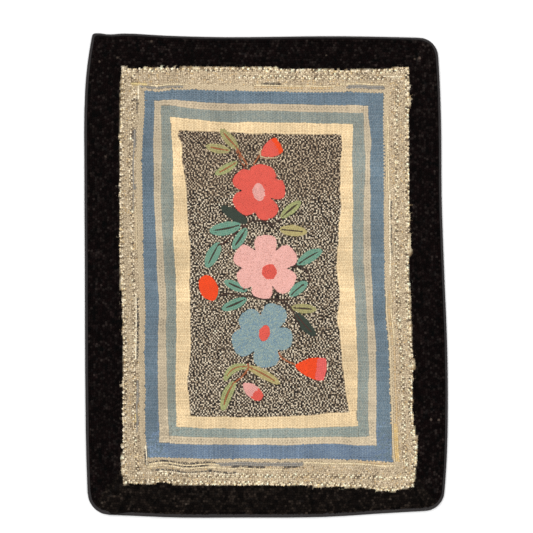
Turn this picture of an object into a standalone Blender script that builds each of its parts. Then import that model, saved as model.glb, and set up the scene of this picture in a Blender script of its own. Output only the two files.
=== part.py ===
"""A hooked rug: one flat cloth with a wool loop face, and the cotton tape bound round its edge.

Blender 4.5 script, in metres, +Z up. The rug lies flat on the plane z = 0 with its length along Y,
its top edge at +Y. Its box is centred on the origin.

The rug is planned as a plain rectangle, RUG_WIDTH by RUG_LENGTH. A point of that rectangle is given
by two shares from -1 to 1 and an inset from the edge, so every ring at one inset runs a constant
distance inside the edge. rug_point then rounds the corners and draws each side in to its real,
uneven line.
"""

from collections import namedtuple
import math

import bmesh
import bpy
import numpy as np
from mathutils import Vector

RUG_WIDTH = 0.801
RUG_LENGTH = 1.067

# Heights of the layers above the floor.
PILE_TOP = 0.0076
CLOTH_TOP = 0.0038
COARSE_LOOP_RISE = 0.0007

# The tape: its thickness, how far it reaches in on the face and on the back, and its rounded fold.
TAPE_THICKNESS = 0.0012
TAPE_FACE_REACH = 0.0071
TAPE_BACK_REACH = 0.030
TAPE_FOLD = 0.001
CLEARANCE = 0.0003
TAPE_TOP = CLOTH_TOP + CLEARANCE + TAPE_THICKNESS
CLOTH_EDGE = TAPE_THICKNESS + CLEARANCE

# The radius of each corner. The top left one is nearly a point.
CORNER_RADII = {
    ("left", "top"): 0.006,
    ("right", "top"): 0.040,
    ("left", "bottom"): 0.046,
    ("right", "bottom"): 0.040,
}

# How far each side lies inside the rug's box, at distances from the top or from the left.
SidePlace = namedtuple("SidePlace", "distance inset")
LEFT_SIDE = (
    SidePlace(distance=0.000, inset=0.0180),
    SidePlace(distance=0.040, inset=0.0110),
    SidePlace(distance=0.095, inset=0.0040),
    SidePlace(distance=0.160, inset=0.0004),
    SidePlace(distance=0.300, inset=0.0000),
    SidePlace(distance=0.520, inset=0.0010),
    SidePlace(distance=0.800, inset=0.0022),
    SidePlace(distance=0.920, inset=0.0038),
    SidePlace(distance=1.067, inset=0.0090),
)
RIGHT_SIDE = (
    SidePlace(distance=0.000, inset=0.0240),
    SidePlace(distance=0.080, inset=0.0190),
    SidePlace(distance=0.170, inset=0.0155),
    SidePlace(distance=0.370, inset=0.0135),
    SidePlace(distance=0.520, inset=0.0085),
    SidePlace(distance=0.700, inset=0.0015),
    SidePlace(distance=0.820, inset=0.0000),
    SidePlace(distance=0.950, inset=0.0025),
    SidePlace(distance=1.067, inset=0.0105),
)
TOP_SIDE = (
    SidePlace(distance=0.000, inset=0.0000),
    SidePlace(distance=0.022, inset=0.0006),
    SidePlace(distance=0.036, inset=0.0028),
    SidePlace(distance=0.062, inset=0.0010),
    SidePlace(distance=0.165, inset=0.0052),
    SidePlace(distance=0.260, inset=0.0080),
    SidePlace(distance=0.600, inset=0.0068),
    SidePlace(distance=0.700, inset=0.0085),
    SidePlace(distance=0.801, inset=0.0110),
)
BOTTOM_SIDE = (
    SidePlace(distance=0.000, inset=0.0080),
    SidePlace(distance=0.100, inset=0.0040),
    SidePlace(distance=0.190, inset=0.0004),
    SidePlace(distance=0.330, inset=0.0000),
    SidePlace(distance=0.560, inset=0.0026),
    SidePlace(distance=0.660, inset=0.0090),
    SidePlace(distance=0.801, inset=0.0165),
)

# The pile beside the tape: the share of its full height that it has reached at each inset.
RimPlace = namedtuple("RimPlace", "inset share")
PILE_RIM = (
    RimPlace(inset=CLOTH_EDGE, share=0.0),
    RimPlace(inset=0.0040, share=0.0),
    RimPlace(inset=TAPE_FACE_REACH + CLEARANCE, share=0.0),
    RimPlace(inset=0.0079, share=0.35),
    RimPlace(inset=0.0092, share=0.78),
    RimPlace(inset=0.0120, share=0.95),
    RimPlace(inset=0.0160, share=1.0),
)

# The coarse, fuller loops of the speckled band: where they begin and end.
COARSE_BAND = (0.070, 0.130)
COARSE_BAND_EDGE = 0.005

# Grid lines further in than the rim, by their insets, and the spacing of the even ones between.
INNER_LINES = (0.021, 0.027, 0.034, 0.048, 0.070, 0.075, 0.100, 0.125, 0.130)
LINE_SPACING = 0.045

# Long, low waves in the laid cloth: rise, crest to crest, heading in degrees and start in degrees.
Wave = namedtuple("Wave", "rise length heading start")
WAVES = (
    Wave(rise=0.0004, length=0.46, heading=72, start=20),
    Wave(rise=0.0003, length=0.31, heading=15, start=130),
    Wave(rise=0.0002, length=0.23, heading=-38, start=75),
)

# The soft crease across the middle, where the rug was folded in half, deeper at both rims.
CREASE_PLACE = 0.016
CREASE_HALF_WIDTH = 0.012
CREASE_DEPTH_AT_RIM = 0.0009
CREASE_DEPTH_IN_MIDDLE = 0.0004

# Material colours, linear.
WOOL_COLOUR = (0.20, 0.16, 0.12)
TAPE_COLOUR = (0.012, 0.011, 0.012)


def read_side(side, distance):
    """The side's inset at this distance, on a smooth curve through the side's places."""
    distances = np.array([place.distance for place in side])
    insets = np.array([place.inset for place in side])
    slopes = np.gradient(insets, distances)
    first = int(np.clip(np.searchsorted(distances, distance) - 1, 0, len(side) - 2))
    gap = distances[first + 1] - distances[first]
    t = min(max((distance - distances[first]) / gap, 0.0), 1.0)
    from_insets = insets[first] * (1 + 2 * t) * (1 - t) ** 2 + insets[first + 1] * t**2 * (3 - 2 * t)
    from_slopes = slopes[first] * t * (1 - t) ** 2 - slopes[first + 1] * t**2 * (1 - t)
    return from_insets + from_slopes * gap


def round_corner(x, y):
    """Moves a point of the plain rectangle so that its square corner becomes a round one."""
    radius = CORNER_RADII["left" if x < 0 else "right", "bottom" if y < 0 else "top"]
    centre_x = RUG_WIDTH / 2 - radius
    centre_y = RUG_LENGTH / 2 - radius
    past_x = abs(x) - centre_x
    past_y = abs(y) - centre_y
    if past_x <= 0 or past_y <= 0:
        return x, y
    shrink = max(past_x, past_y) / math.hypot(past_x, past_y)
    return (
        math.copysign(centre_x + past_x * shrink, x),
        math.copysign(centre_y + past_y * shrink, y),
    )


def draw_in(x, y):
    """Moves a point by the insets of the four sides, each fading out towards the opposite side."""
    from_left = x + RUG_WIDTH / 2
    from_top = RUG_LENGTH / 2 - y
    to_right = from_left / RUG_WIDTH
    to_bottom = from_top / RUG_LENGTH
    left = read_side(LEFT_SIDE, from_top) * (1 - to_right)
    right = read_side(RIGHT_SIDE, from_top) * to_right
    top = read_side(TOP_SIDE, from_left) * (1 - to_bottom)
    bottom = read_side(BOTTOM_SIDE, from_left) * to_bottom
    return x + left - right, y - top + bottom


def rug_point(share_x, share_y, inset):
    """The real x and y of a ring point, by its shares of the rectangle that lies inset inside the edge."""
    x = share_x * (RUG_WIDTH / 2 - inset)
    y = share_y * (RUG_LENGTH / 2 - inset)
    return draw_in(*round_corner(x, y))


def line_shares(size, extra_places=()):
    """Grid lines across one size, as shares from -1 to 1: close by both rims, even between them."""
    insets = [place.inset for place in PILE_RIM] + list(INNER_LINES)
    near = [inset - size / 2 for inset in insets]
    far = [-place for place in reversed(near)]
    gap = far[0] - near[-1]
    steps = round(gap / LINE_SPACING)
    between = [near[-1] + gap * step / steps for step in range(1, steps)]
    reach = size / 2 - CLOTH_EDGE
    return [place / reach for place in sorted(near + between + far + list(extra_places))]


def crease_depth(x, y):
    """How far the crease lowers the loops at this place."""
    depth_share = (2 * abs(x) / RUG_WIDTH) ** 2
    depth = CREASE_DEPTH_IN_MIDDLE + (CREASE_DEPTH_AT_RIM - CREASE_DEPTH_IN_MIDDLE) * depth_share
    return depth * math.exp(-(((y - CREASE_PLACE) / CREASE_HALF_WIDTH) ** 2))


def coarse_rise(inset):
    """How much higher the coarse loops stand at this inset."""
    start, end = COARSE_BAND
    share = min((inset - start) / COARSE_BAND_EDGE, (end - inset) / COARSE_BAND_EDGE)
    return COARSE_LOOP_RISE * min(max(share, 0.0), 1.0)


def wave_height(x, y):
    """The height that the long waves add at this place."""
    height = 0.0
    for wave in WAVES:
        heading = math.radians(wave.heading)
        run = x * math.cos(heading) + y * math.sin(heading)
        height += wave.rise * math.sin(math.tau * run / wave.length + math.radians(wave.start))
    return height


def face_height(x, y):
    """The height of the rug's face at a point of the plain rectangle."""
    inset = min(RUG_WIDTH / 2 - abs(x), RUG_LENGTH / 2 - abs(y))
    share = np.interp(inset, [place.inset for place in PILE_RIM], [place.share for place in PILE_RIM])
    full = PILE_TOP + wave_height(x, y) + coarse_rise(inset) - crease_depth(x, y)
    return CLOTH_TOP + (full - CLOTH_TOP) * share


def extrude_ring(bm, ring, share_layers, inset, height):
    """Extrudes a ring of edges and lays the new ring at this inset and height. Returns its edges."""
    made = bmesh.ops.extrude_edge_only(bm, edges=ring)["geom"]
    for vert in made:
        if isinstance(vert, bmesh.types.BMVert):
            x, y = rug_point(vert[share_layers[0]], vert[share_layers[1]], inset)
            vert.co = Vector((x, y, height))
    verts = {vert for vert in made if isinstance(vert, bmesh.types.BMVert)}
    return [
        edge
        for edge in made
        if isinstance(edge, bmesh.types.BMEdge) and verts.issuperset(edge.verts)
    ]


def add_share_layers(bm):
    """Vertex layers that keep each point's shares through the extrusions."""
    return [bm.verts.layers.float.new(name) for name in ("share_x", "share_y")]


def finish_object(bm, name, collection, colour, roughness):
    """Turns the bmesh into a named object with its own material."""
    bmesh.ops.recalc_face_normals(bm, faces=bm.faces)
    mesh = bpy.data.meshes.new(name)
    bm.to_mesh(mesh)
    bm.free()
    mesh.shade_smooth()
    mesh.set_sharp_from_angle(angle=math.radians(40))
    material = bpy.data.materials.new(name)
    material.use_nodes = True
    shader = material.node_tree.nodes["Principled BSDF"]
    shader.inputs["Base Color"].default_value = (*colour, 1.0)
    shader.inputs["Roughness"].default_value = roughness
    shader.inputs["Metallic"].default_value = 0.0
    mesh.materials.append(material)
    made = bpy.data.objects.new(name, mesh)
    collection.objects.link(made)
    return made


def build_hooked_field(collection, columns, rows):
    """The hooked cloth: a gridded face, a low edge under the tape, and a flat back with a step."""
    bm = bmesh.new()
    layers = add_share_layers(bm)
    bmesh.ops.create_grid(bm, x_segments=len(columns) - 1, y_segments=len(rows) - 1, size=1.0)
    for vert in bm.verts:
        share_x = columns[round((vert.co.x + 1) / 2 * (len(columns) - 1))]
        share_y = rows[round((vert.co.y + 1) / 2 * (len(rows) - 1))]
        vert[layers[0]] = share_x
        vert[layers[1]] = share_y
        plain_x = share_x * (RUG_WIDTH / 2 - CLOTH_EDGE)
        plain_y = share_y * (RUG_LENGTH / 2 - CLOTH_EDGE)
        x, y = rug_point(share_x, share_y, CLOTH_EDGE)
        vert.co = Vector((x, y, face_height(plain_x, plain_y)))
    tape_room = TAPE_THICKNESS + CLEARANCE
    step_inset = TAPE_BACK_REACH + CLEARANCE
    ring = [edge for edge in bm.edges if edge.is_boundary]
    ring = extrude_ring(bm, ring, layers, CLOTH_EDGE, tape_room)
    ring = extrude_ring(bm, ring, layers, step_inset, tape_room)
    ring = extrude_ring(bm, ring, layers, step_inset, 0.0)
    bmesh.ops.edgeloop_fill(bm, edges=ring)
    return finish_object(bm, "hooked_field", collection, WOOL_COLOUR, 0.95)


def build_edge_binding(collection, columns, rows):
    """The tape: its section carried round the rug, from the back, over the edge, onto the face."""
    section = (
        (TAPE_FOLD, 0.0),
        (0.0, TAPE_FOLD),
        (0.0, TAPE_TOP - TAPE_FOLD),
        (TAPE_FOLD, TAPE_TOP),
        (TAPE_FACE_REACH, TAPE_TOP),
        (TAPE_FACE_REACH, TAPE_TOP - TAPE_THICKNESS),
        (TAPE_THICKNESS, TAPE_TOP - TAPE_THICKNESS),
        (TAPE_THICKNESS, TAPE_THICKNESS),
        (TAPE_BACK_REACH, TAPE_THICKNESS),
    )
    stations = [(share, -1.0) for share in columns[:-1]]
    stations += [(1.0, share) for share in rows[:-1]]
    stations += [(share, 1.0) for share in reversed(columns[1:])]
    stations += [(-1.0, share) for share in reversed(rows[1:])]
    bm = bmesh.new()
    layers = add_share_layers(bm)
    bmesh.ops.create_circle(bm, segments=len(stations), radius=1.0)
    for vert, (share_x, share_y) in zip(bm.verts, stations):
        vert[layers[0]] = share_x
        vert[layers[1]] = share_y
        x, y = rug_point(share_x, share_y, TAPE_BACK_REACH)
        vert.co = Vector((x, y, 0.0))
    first_ring = list(bm.edges)
    ring = first_ring
    for inset, height in section:
        ring = extrude_ring(bm, ring, layers, inset, height)
    bmesh.ops.bridge_loops(bm, edges=first_ring + ring)
    return finish_object(bm, "edge_binding", collection, TAPE_COLOUR, 0.8)


def centre_on_origin(pieces):
    """Moves the pieces' meshes together so that the middle of their box is at x = y = 0."""
    points = [vert.co for piece in pieces for vert in piece.data.vertices]
    middle_x = (min(point.x for point in points) + max(point.x for point in points)) / 2
    middle_y = (min(point.y for point in points) + max(point.y for point in points)) / 2
    for point in points:
        point.x -= middle_x
        point.y -= middle_y


def build_rug():
    """Clears the scene and builds the rug's two pieces in their own collection."""
    for old in list(bpy.data.objects):
        bpy.data.objects.remove(old, do_unlink=True)
    collection = bpy.data.collections.new("hooked_rug")
    bpy.context.scene.collection.children.link(collection)
    crease_rows = [CREASE_PLACE + side * CREASE_HALF_WIDTH for side in (-1, 0, 1)]
    columns = line_shares(RUG_WIDTH)
    rows = line_shares(RUG_LENGTH, crease_rows)
    field = build_hooked_field(collection, columns, rows)
    binding = build_edge_binding(collection, columns, rows)
    centre_on_origin([field, binding])


build_rug()
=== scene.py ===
# %% [markdown]
# # A hooked rug, loop by loop
# A hooked rug is made by pulling narrow strips of wool up through a coarse ground cloth, so that each
# pull leaves a small loop standing on the face. The solids of this part give the rug its size, its
# uneven outline and its low relief. This script dresses them: every loop becomes a small closed shape,
# the ground cloth shows between and under the loops, and a cotton tape covers the raw edge.
# The solids are loaded first, and nothing here moves or resizes them.

# %% Load the solids
import math
from collections import namedtuple

import bmesh
import bpy
import numpy as np
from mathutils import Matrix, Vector, kdtree, noise
from mathutils.bvhtree import BVHTree


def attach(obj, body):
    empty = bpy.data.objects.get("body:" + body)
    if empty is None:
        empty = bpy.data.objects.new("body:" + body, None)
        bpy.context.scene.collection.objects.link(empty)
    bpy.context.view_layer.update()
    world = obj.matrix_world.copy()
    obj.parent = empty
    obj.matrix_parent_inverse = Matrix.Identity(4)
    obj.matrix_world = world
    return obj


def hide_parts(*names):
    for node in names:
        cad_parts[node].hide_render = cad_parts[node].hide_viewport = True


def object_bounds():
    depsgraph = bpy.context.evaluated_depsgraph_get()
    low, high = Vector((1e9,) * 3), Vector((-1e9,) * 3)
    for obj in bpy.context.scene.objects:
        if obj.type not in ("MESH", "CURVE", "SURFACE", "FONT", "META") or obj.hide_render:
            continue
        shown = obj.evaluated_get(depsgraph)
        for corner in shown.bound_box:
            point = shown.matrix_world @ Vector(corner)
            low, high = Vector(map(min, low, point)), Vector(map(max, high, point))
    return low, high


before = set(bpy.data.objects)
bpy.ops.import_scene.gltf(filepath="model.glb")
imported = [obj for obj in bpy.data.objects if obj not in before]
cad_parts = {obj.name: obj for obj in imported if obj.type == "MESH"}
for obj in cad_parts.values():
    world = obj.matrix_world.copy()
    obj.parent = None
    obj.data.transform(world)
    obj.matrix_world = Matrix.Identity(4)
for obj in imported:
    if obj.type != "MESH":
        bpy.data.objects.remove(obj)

cad_low, cad_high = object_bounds()
print("solids from", tuple(cad_low), "to", tuple(cad_high))

# %% [markdown]
# The design is planned in millimetres, as a maker would draw it on the cloth, with x to the right and
# y towards the top of the rug. Places that were read from a straight view of the whole rug are
# written in that picture's own pixels, and one function turns them into millimetres on the cloth. The
# rug is about 364 pixels wide there and 0.80 m wide in fact, which gives 2.2 mm a pixel.

# %% Millimetres and picture places
MM = 0.001
MM_PER_PIXEL = 2.2
MIDDLE_PIXEL = (266.0, 275.5)
SEED = 20
SERIAL_STEP = 3.7

rng = np.random.default_rng(SEED)


def on_cloth(pixel):
    """A place in the picture as millimetres from the middle of the rug."""
    across, down = pixel
    return Vector(((across - MIDDLE_PIXEL[0]) * MM_PER_PIXEL, (MIDDLE_PIXEL[1] - down) * MM_PER_PIXEL))


def drift(x, y, size, serial=0.0):
    """Smooth, repeatable unevenness from -1 to 1, with patches of this size in millimetres."""
    return noise.noise(Vector((x / size, y / size, serial * SERIAL_STEP)))


print("the top left of the picture lies at", on_cloth((0, 0)))

# %% [markdown]
# The loops have to end at the face of the solid, with its long waves and the soft crease across the
# middle. A BVH tree is a quick index of a mesh: one ray dropped on it gives the height of the face at
# any place.

# %% Read the face of the solid
FIELD_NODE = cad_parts["hooked_field"]
TAPE_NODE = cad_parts["edge_binding"]
CLOTH_TOP = 3.7
LOWEST_CROWN = 5.4
CROWN_DEPTH = 1.7
ROOT_DEPTH = 0.5
RAY_START = 0.1

field_tree = BVHTree.FromPolygons(
    [vert.co.copy() for vert in FIELD_NODE.data.vertices],
    [tuple(face.vertices) for face in FIELD_NODE.data.polygons],
)


def face_height(x, y):
    """The height of the solid's face in millimetres, at a place in millimetres."""
    hit = field_tree.ray_cast(Vector((x * MM, y * MM, RAY_START)), Vector((0, 0, -1)))[0]
    return LOWEST_CROWN if hit is None else max(hit.z / MM, LOWEST_CROWN)


print("face height in the middle", round(face_height(0, 0), 2), "mm")

# %% [markdown]
# The tape's solid also gives the rug's true outline. Its outermost ring lies 4.3 mm above the floor,
# and its innermost ring on the back lies flat on the floor, 30 mm further in. Both rings have the same
# number of points, so they pair up when they start at the same corner. The outline is then read at
# even steps, and a point at any inset lies on the line between the pair. A k-d tree of flat places
# finds the nearest one quickly, which gives the distance from any place to the outline.

# %% Read the outline
OUTER_RING_HEIGHT = 4.3
TAPE_BACK_REACH = 30.0
RING_STEP = 4.0
SAME_HEIGHT = 0.05


def ring_from_top_left(points):
    """The points of a ring in order round the middle, from the top left corner on."""
    ring = sorted(points, key=lambda point: math.atan2(point[1], point[0]))
    start = max(range(len(ring)), key=lambda index: ring[index][1] - ring[index][0])
    return np.array(ring[start:] + ring[:start])


def tape_points(height):
    """The places of the tape solid's points at one height, each of them once."""
    found = set()
    for vert in TAPE_NODE.data.vertices:
        if abs(vert.co.z / MM - height) < SAME_HEIGHT:
            found.add((round(vert.co.x / MM, 3), round(vert.co.y / MM, 3)))
    return found


outer_corners = ring_from_top_left(tape_points(OUTER_RING_HEIGHT))


def is_far_in(point):
    """True for a point well inside the outer ring."""
    gaps = np.hypot(*(outer_corners - np.array(point)).T)
    return gaps.min() > TAPE_BACK_REACH / 2


inner_corners = ring_from_top_left([point for point in tape_points(0.0) if is_far_in(point)])
print("ring points", len(outer_corners), "and", len(inner_corners))


# %% Even steps round the outline
def even_steps(ring, partner, step):
    """Both rings read at even steps along the first one, and its length."""
    closed = np.vstack([ring, ring[:1]])
    closed_partner = np.vstack([partner, partner[:1]])
    run = np.concatenate([[0.0], np.cumsum(np.hypot(*np.diff(closed, axis=0).T))])
    count = round(run[-1] / step)
    places = np.arange(count) * run[-1] / count
    read = [np.interp(places, run, column) for column in (*closed.T, *closed_partner.T)]
    return np.stack(read[:2], axis=1), np.stack(read[2:], axis=1), run[-1]


def flat_tree(places):
    """A tree that finds the nearest of these flat places."""
    tree = kdtree.KDTree(len(places))
    for index, (x, y) in enumerate(places):
        tree.insert((x, y, 0.0), index)
    tree.balance()
    return tree


outline, back_line, outline_length = even_steps(outer_corners, inner_corners, RING_STEP)
dense_outline, dense_back_line, _ = even_steps(outer_corners, inner_corners, RING_STEP / 4)
outline_tree = flat_tree(dense_outline)


def inset_at(x, y):
    """The distance from a place on the rug to its outline."""
    return outline_tree.find((x, y, 0.0))[2]


print("the outline is", round(outline_length), "mm long, in", len(outline), "steps")

# %% [markdown]
# The borders are nested frames whose lines are a little bowed and out of square, as a hand drawn design
# is. Each line is given by its four corners and by where each side passes half way along, and a
# parabola through those three values gives the side anywhere. A bulge adds a local swelling.

# %% The lines between the bands
Bulge = namedtuple("Bulge", "side place reach spread")
Line = namedtuple(
    "Line", "waver top_left top_right bottom_right bottom_left top right bottom left bulges"
)
SPECKLED_EDGE = Line(
    waver=1.7,
    top_left=(-319, 459),
    top_right=(315, 459),
    bottom_right=(325, -466),
    bottom_left=(-315, -459),
    top=458,
    right=317,
    bottom=-462,
    left=-323,
    bulges=(
        Bulge("top", 165, -6.5, 75),
        Bulge("top", -260, -3, 50),
        Bulge("bottom", -245, 4, 35),
        Bulge("bottom", 312, 4.5, 22),
        Bulge("bottom", 273, -9, 50),
        Bulge("top", 48, -3.4, 40),
        Bulge("top", 250, -3.4, 40),
        Bulge("left", -150, 7.0, 160),
        Bulge("left", 445, 4, 40),
        Bulge("right", -4, -3.0, 40),
        Bulge("right", -190, 5.5, 55),
        Bulge("right", -382, 9, 55),
    ),
)
BLUE_EDGE = Line(
    waver=1.5,
    top_left=(-267, 410),
    top_right=(260, 401),
    bottom_right=(282, -408),
    bottom_left=(-260, -399),
    top=405,
    right=260,
    bottom=-401.5,
    left=-270,
    bulges=(
        Bulge("top", -245, -5, 28),
        Bulge("top", 190, 1.8, 80),
        Bulge("bottom", -110, -3.8, 130),
        Bulge("bottom", 268, -3.0, 25),
        Bulge("left", -330, -2.8, 60),
        Bulge("left", -70, 3.5, 60),
        Bulge("left", 240, -2.8, 90),
        Bulge("right", -190, 3.8, 70),
        Bulge("right", -390, -3.5, 50),
        Bulge("right", 150, 1.9, 170),
    ),
)
BEIGE_EDGE = Line(
    waver=1.7,
    top_left=(-246, 386),
    top_right=(224.5, 374),
    bottom_right=(244, -375),
    bottom_left=(-235.5, -368.5),
    top=379,
    right=232.5,
    bottom=-373.3,
    left=-240.5,
    bulges=(
        Bulge("top", -70, -2.5, 70),
        Bulge("top", -200, 2, 30),
        Bulge("bottom", 140, 3.8, 70),
        Bulge("bottom", -150, -2.2, 50),
        Bulge("left", -60, 4, 55),
        Bulge("left", 240, -3.6, 130),
        Bulge("right", -180, 5.5, 95),
        Bulge("right", 200, 2.2, 60),
        Bulge("right", 300, 5.5, 35),
    ),
)
TEAL_EDGE = Line(
    waver=1.6,
    top_left=(-231, 373),
    top_right=(213.5, 357.5),
    bottom_right=(226.5, -355.5),
    bottom_left=(-213.5, -353),
    top=363,
    right=215.6,
    bottom=-358,
    left=-224.4,
    bulges=(
        Bulge("top", -110, -4, 60),
        Bulge("top", -217, 3, 25),
        Bulge("bottom", 110, 1.8, 90),
        Bulge("left", -60, 4, 50),
        Bulge("left", 160, -2.8, 70),
        Bulge("right", -180, 5.8, 80),
        Bulge("right", -60, 3.5, 45),
        Bulge("right", 250, 5.0, 75),
    ),
)
CREAM_EDGE = Line(
    waver=1.9,
    top_left=(-211, 351),
    top_right=(191.5, 333.5),
    bottom_right=(202.5, -331),
    bottom_left=(-196, -333.5),
    top=337.7,
    right=192,
    bottom=-335.5,
    left=-200,
    bulges=(
        Bulge("top", -110, -4.6, 75),
        Bulge("top", 70, 2, 50),
        Bulge("bottom", -40, -2.6, 130),
        Bulge("left", -230, -2.5, 60),
        Bulge("left", 80, -2.2, 35),
        Bulge("left", 250, 3, 40),
        Bulge("right", -170, 5.8, 90),
        Bulge("right", -45, 2.4, 45),
        Bulge("right", 160, 2.6, 45),
    ),
)
FIELD_EDGE = Line(
    waver=2.6,
    top_left=(-184.5, 318),
    top_right=(165, 310),
    bottom_right=(182.5, -300),
    bottom_left=(-167, -309),
    top=312.4,
    right=157.3,
    bottom=-311.3,
    left=-168.3,
    bulges=(
        Bulge("top", -90, 2.6, 35),
        Bulge("left", 310, -8.5, 15),
        Bulge("left", 262, -5.5, 30),
        Bulge("left", 60, 2.5, 50),
        Bulge("left", -235, -7, 42),
        Bulge("right", 165, 8, 75),
        Bulge("right", 285, 3.5, 35),
        Bulge("right", -40, 4.8, 22),
        Bulge("right", -98, -5.5, 22),
        Bulge("right", -190, -2, 50),
    ),
)

# For each side: its two corners, and which coordinate runs along it.
Side = namedtuple("Side", "first last along")
SIDES = {
    "top": Side("top_left", "top_right", 0),
    "bottom": Side("bottom_left", "bottom_right", 0),
    "left": Side("bottom_left", "top_left", 1),
    "right": Side("bottom_right", "top_right", 1),
}
WAVER_SIZE = 42.0


def on_side(side, place, across):
    """The x and y of a place along a side, at this value across it."""
    return (across, place) if SIDES[side].along == 1 else (place, across)


def side_at(line, side, place):
    """Where a line's side passes at this place along it."""
    first, last, along = SIDES[side]
    start = getattr(line, first)
    end = getattr(line, last)
    middle = getattr(line, side)
    share = (place - start[along]) / (end[along] - start[along])
    bow = middle - (start[1 - along] + end[1 - along]) / 2
    value = start[1 - along] + (end[1 - along] - start[1 - along]) * share + 4 * bow * share * (1 - share)
    for bulge in line.bulges:
        if bulge.side == side:
            value += bulge.reach * math.exp(-(((place - bulge.place) / bulge.spread) ** 2))
    return value + line.waver * drift(place, start[1 - along], WAVER_SIZE, serial=line.top)


def inside(line, x, y, margin=0.0):
    """True for a place inside a line, by at least this margin."""
    across = side_at(line, "left", y) + margin < x < side_at(line, "right", y) - margin
    return across and side_at(line, "bottom", x) + margin < y < side_at(line, "top", x) - margin


print("the field is", round(side_at(FIELD_EDGE, "right", 0) - side_at(FIELD_EDGE, "left", 0)), "mm wide")

# %% [markdown]
# Wool colours are written as they look, from 0 to 255, and turned into the linear values that shaders
# use. A mixed yarn is a short table of its strands with the share of each.

# %% Dyes and mixed yarns
Strand = namedtuple("Strand", "share colour")


def dye(red, green, blue):
    """A colour from 0 to 255 as linear values."""
    levels = [value / 255 for value in (red, green, blue)]
    return tuple(((level + 0.055) / 1.055) ** 2.4 if level > 0.04045 else level / 12.92 for level in levels)


def plain(red, green, blue):
    """A yarn of one dye."""
    return (Strand(1.0, dye(red, green, blue)),)


def halves(first, second):
    """A yarn of two dyes in equal parts."""
    return (Strand(0.5, dye(*first)), Strand(0.5, dye(*second)))


def pick(yarn):
    """One strand's colour, drawn by the shares."""
    mark = rng.random() * sum(strand.share for strand in yarn)
    for strand in yarn:
        mark -= strand.share
        if mark <= 0:
            return strand.colour
    return yarn[-1].colour


def pick_pair(yarn):
    """The colours of a loop's two halves: two different strands if the yarn has them."""
    first = pick(yarn)
    second = pick(yarn)
    if len(yarn) > 1 and second == first:
        second = pick(yarn)
    return first, second


CREAM = halves((239, 213, 169), (229, 201, 157))
LOW_CREAM = halves((230, 205, 163), (222, 196, 154))
TEAL = {
    "left": halves((134, 142, 134), (146, 148, 136)),
    "top": halves((133, 141, 135), (147, 150, 139)),
    "right": halves((139, 148, 142), (153, 155, 144)),
    "bottom": halves((143, 154, 147), (157, 162, 151)),
}
BEIGE = {
    "left": plain(191, 175, 148),
    "top": plain(197, 179, 151),
    "right": plain(200, 184, 157),
    "bottom": plain(211, 193, 163),
}
BLUE = {
    "left": halves((97, 115, 127), (108, 123, 134)),
    "top": halves((101, 119, 132), (114, 129, 140)),
    "right": halves((104, 123, 135), (116, 131, 140)),
    "bottom": halves((107, 126, 148), (119, 136, 153)),
}
CREAM_SIDES = {"left": CREAM, "top": CREAM, "right": CREAM, "bottom": LOW_CREAM}
FIELD_DARK = (Strand(0.78, dye(32, 24, 21)), Strand(0.22, dye(84, 70, 57)))
FIELD_LIGHT = (Strand(0.44, dye(245, 228, 200)), Strand(0.56, dye(159, 139, 114)))
TOP_DARK = (Strand(0.68, dye(42, 31, 26)), Strand(0.32, dye(92, 76, 62)))
TOP_LIGHT = (Strand(0.42, dye(226, 205, 174)), Strand(0.58, dye(149, 127, 103)))
SPECKLED_YARN = (
    Strand(0.38, dye(194, 176, 146)),
    Strand(0.31, dye(185, 166, 137)),
    Strand(0.18, dye(173, 153, 125)),
    Strand(0.05, dye(226, 209, 180)),
    Strand(0.04, dye(126, 107, 86)),
    Strand(0.04, dye(200, 170, 122)),
)
RIB_YARN = halves((192, 174, 144), (179, 161, 132))
SIDE_BLACK = (
    Strand(0.58, dye(10, 4, 4)),
    Strand(0.30, dye(20, 13, 12)),
    Strand(0.117, dye(31, 25, 23)),
    Strand(0.003, dye(66, 56, 49)),
)
BOTTOM_BLACK = (
    Strand(0.55, dye(15, 10, 8)),
    Strand(0.32, dye(27, 21, 17)),
    Strand(0.127, dye(40, 33, 28)),
    Strand(0.003, dye(66, 58, 51)),
)
CORAL = plain(216, 88, 74)
ROSE = plain(222, 96, 90)
ORANGE_RED = plain(230, 71, 23)
PINK = (Strand(0.6, dye(230, 175, 165)), Strand(0.4, dye(223, 167, 155)))
PALE_PINK = plain(220, 159, 150)
SLATE_BLUE = (
    Strand(0.36, dye(124, 147, 153)),
    Strand(0.36, dye(138, 158, 157)),
    Strand(0.14, dye(114, 140, 156)),
    Strand(0.14, dye(156, 169, 156)),
)
TEAL_LEAF = (Strand(0.6, dye(105, 150, 130)), Strand(0.4, dye(117, 152, 130)))
OLIVE = (Strand(0.6, dye(168, 160, 108)), Strand(0.4, dye(150, 144, 98)))
LIGHT_GREEN = (Strand(0.6, dye(166, 168, 112)), Strand(0.4, dye(146, 150, 102)))
YELLOW_OLIVE = (Strand(0.6, dye(180, 167, 113)), Strand(0.4, dye(170, 154, 103)))
DARK_GREEN = plain(53, 62, 52)
RUST = plain(162, 96, 60)
RUST_MIXED = (Strand(0.6, dye(158, 92, 60)), Strand(0.4, dye(78, 58, 46)))
DARK_BROWN = plain(66, 48, 39)
MAROON = plain(76, 46, 38)
SEPAL = plain(96, 128, 104)
PALE_OUTLINE = plain(212, 190, 152)
print("cream in linear values", [round(value, 3) for value in CREAM[0].colour])

# %% [markdown]
# Every loop is one record: its place, heading, length, width, root, crown and colours. Its two halves may
# differ in colour, as those of a loop of mixed yarn do. Loops that follow a shape are laid first, and the
# ground that is filled in later leaves out each place that is already taken. A dictionary of small square
# cells finds the neighbours of a place without looking at all of the others.
# The loops of a real rug stand packed against each other, so that only their crowns show. The slab of
# ground cloth therefore rises to just below the crowns, and each loop starts a little under its surface.

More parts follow.
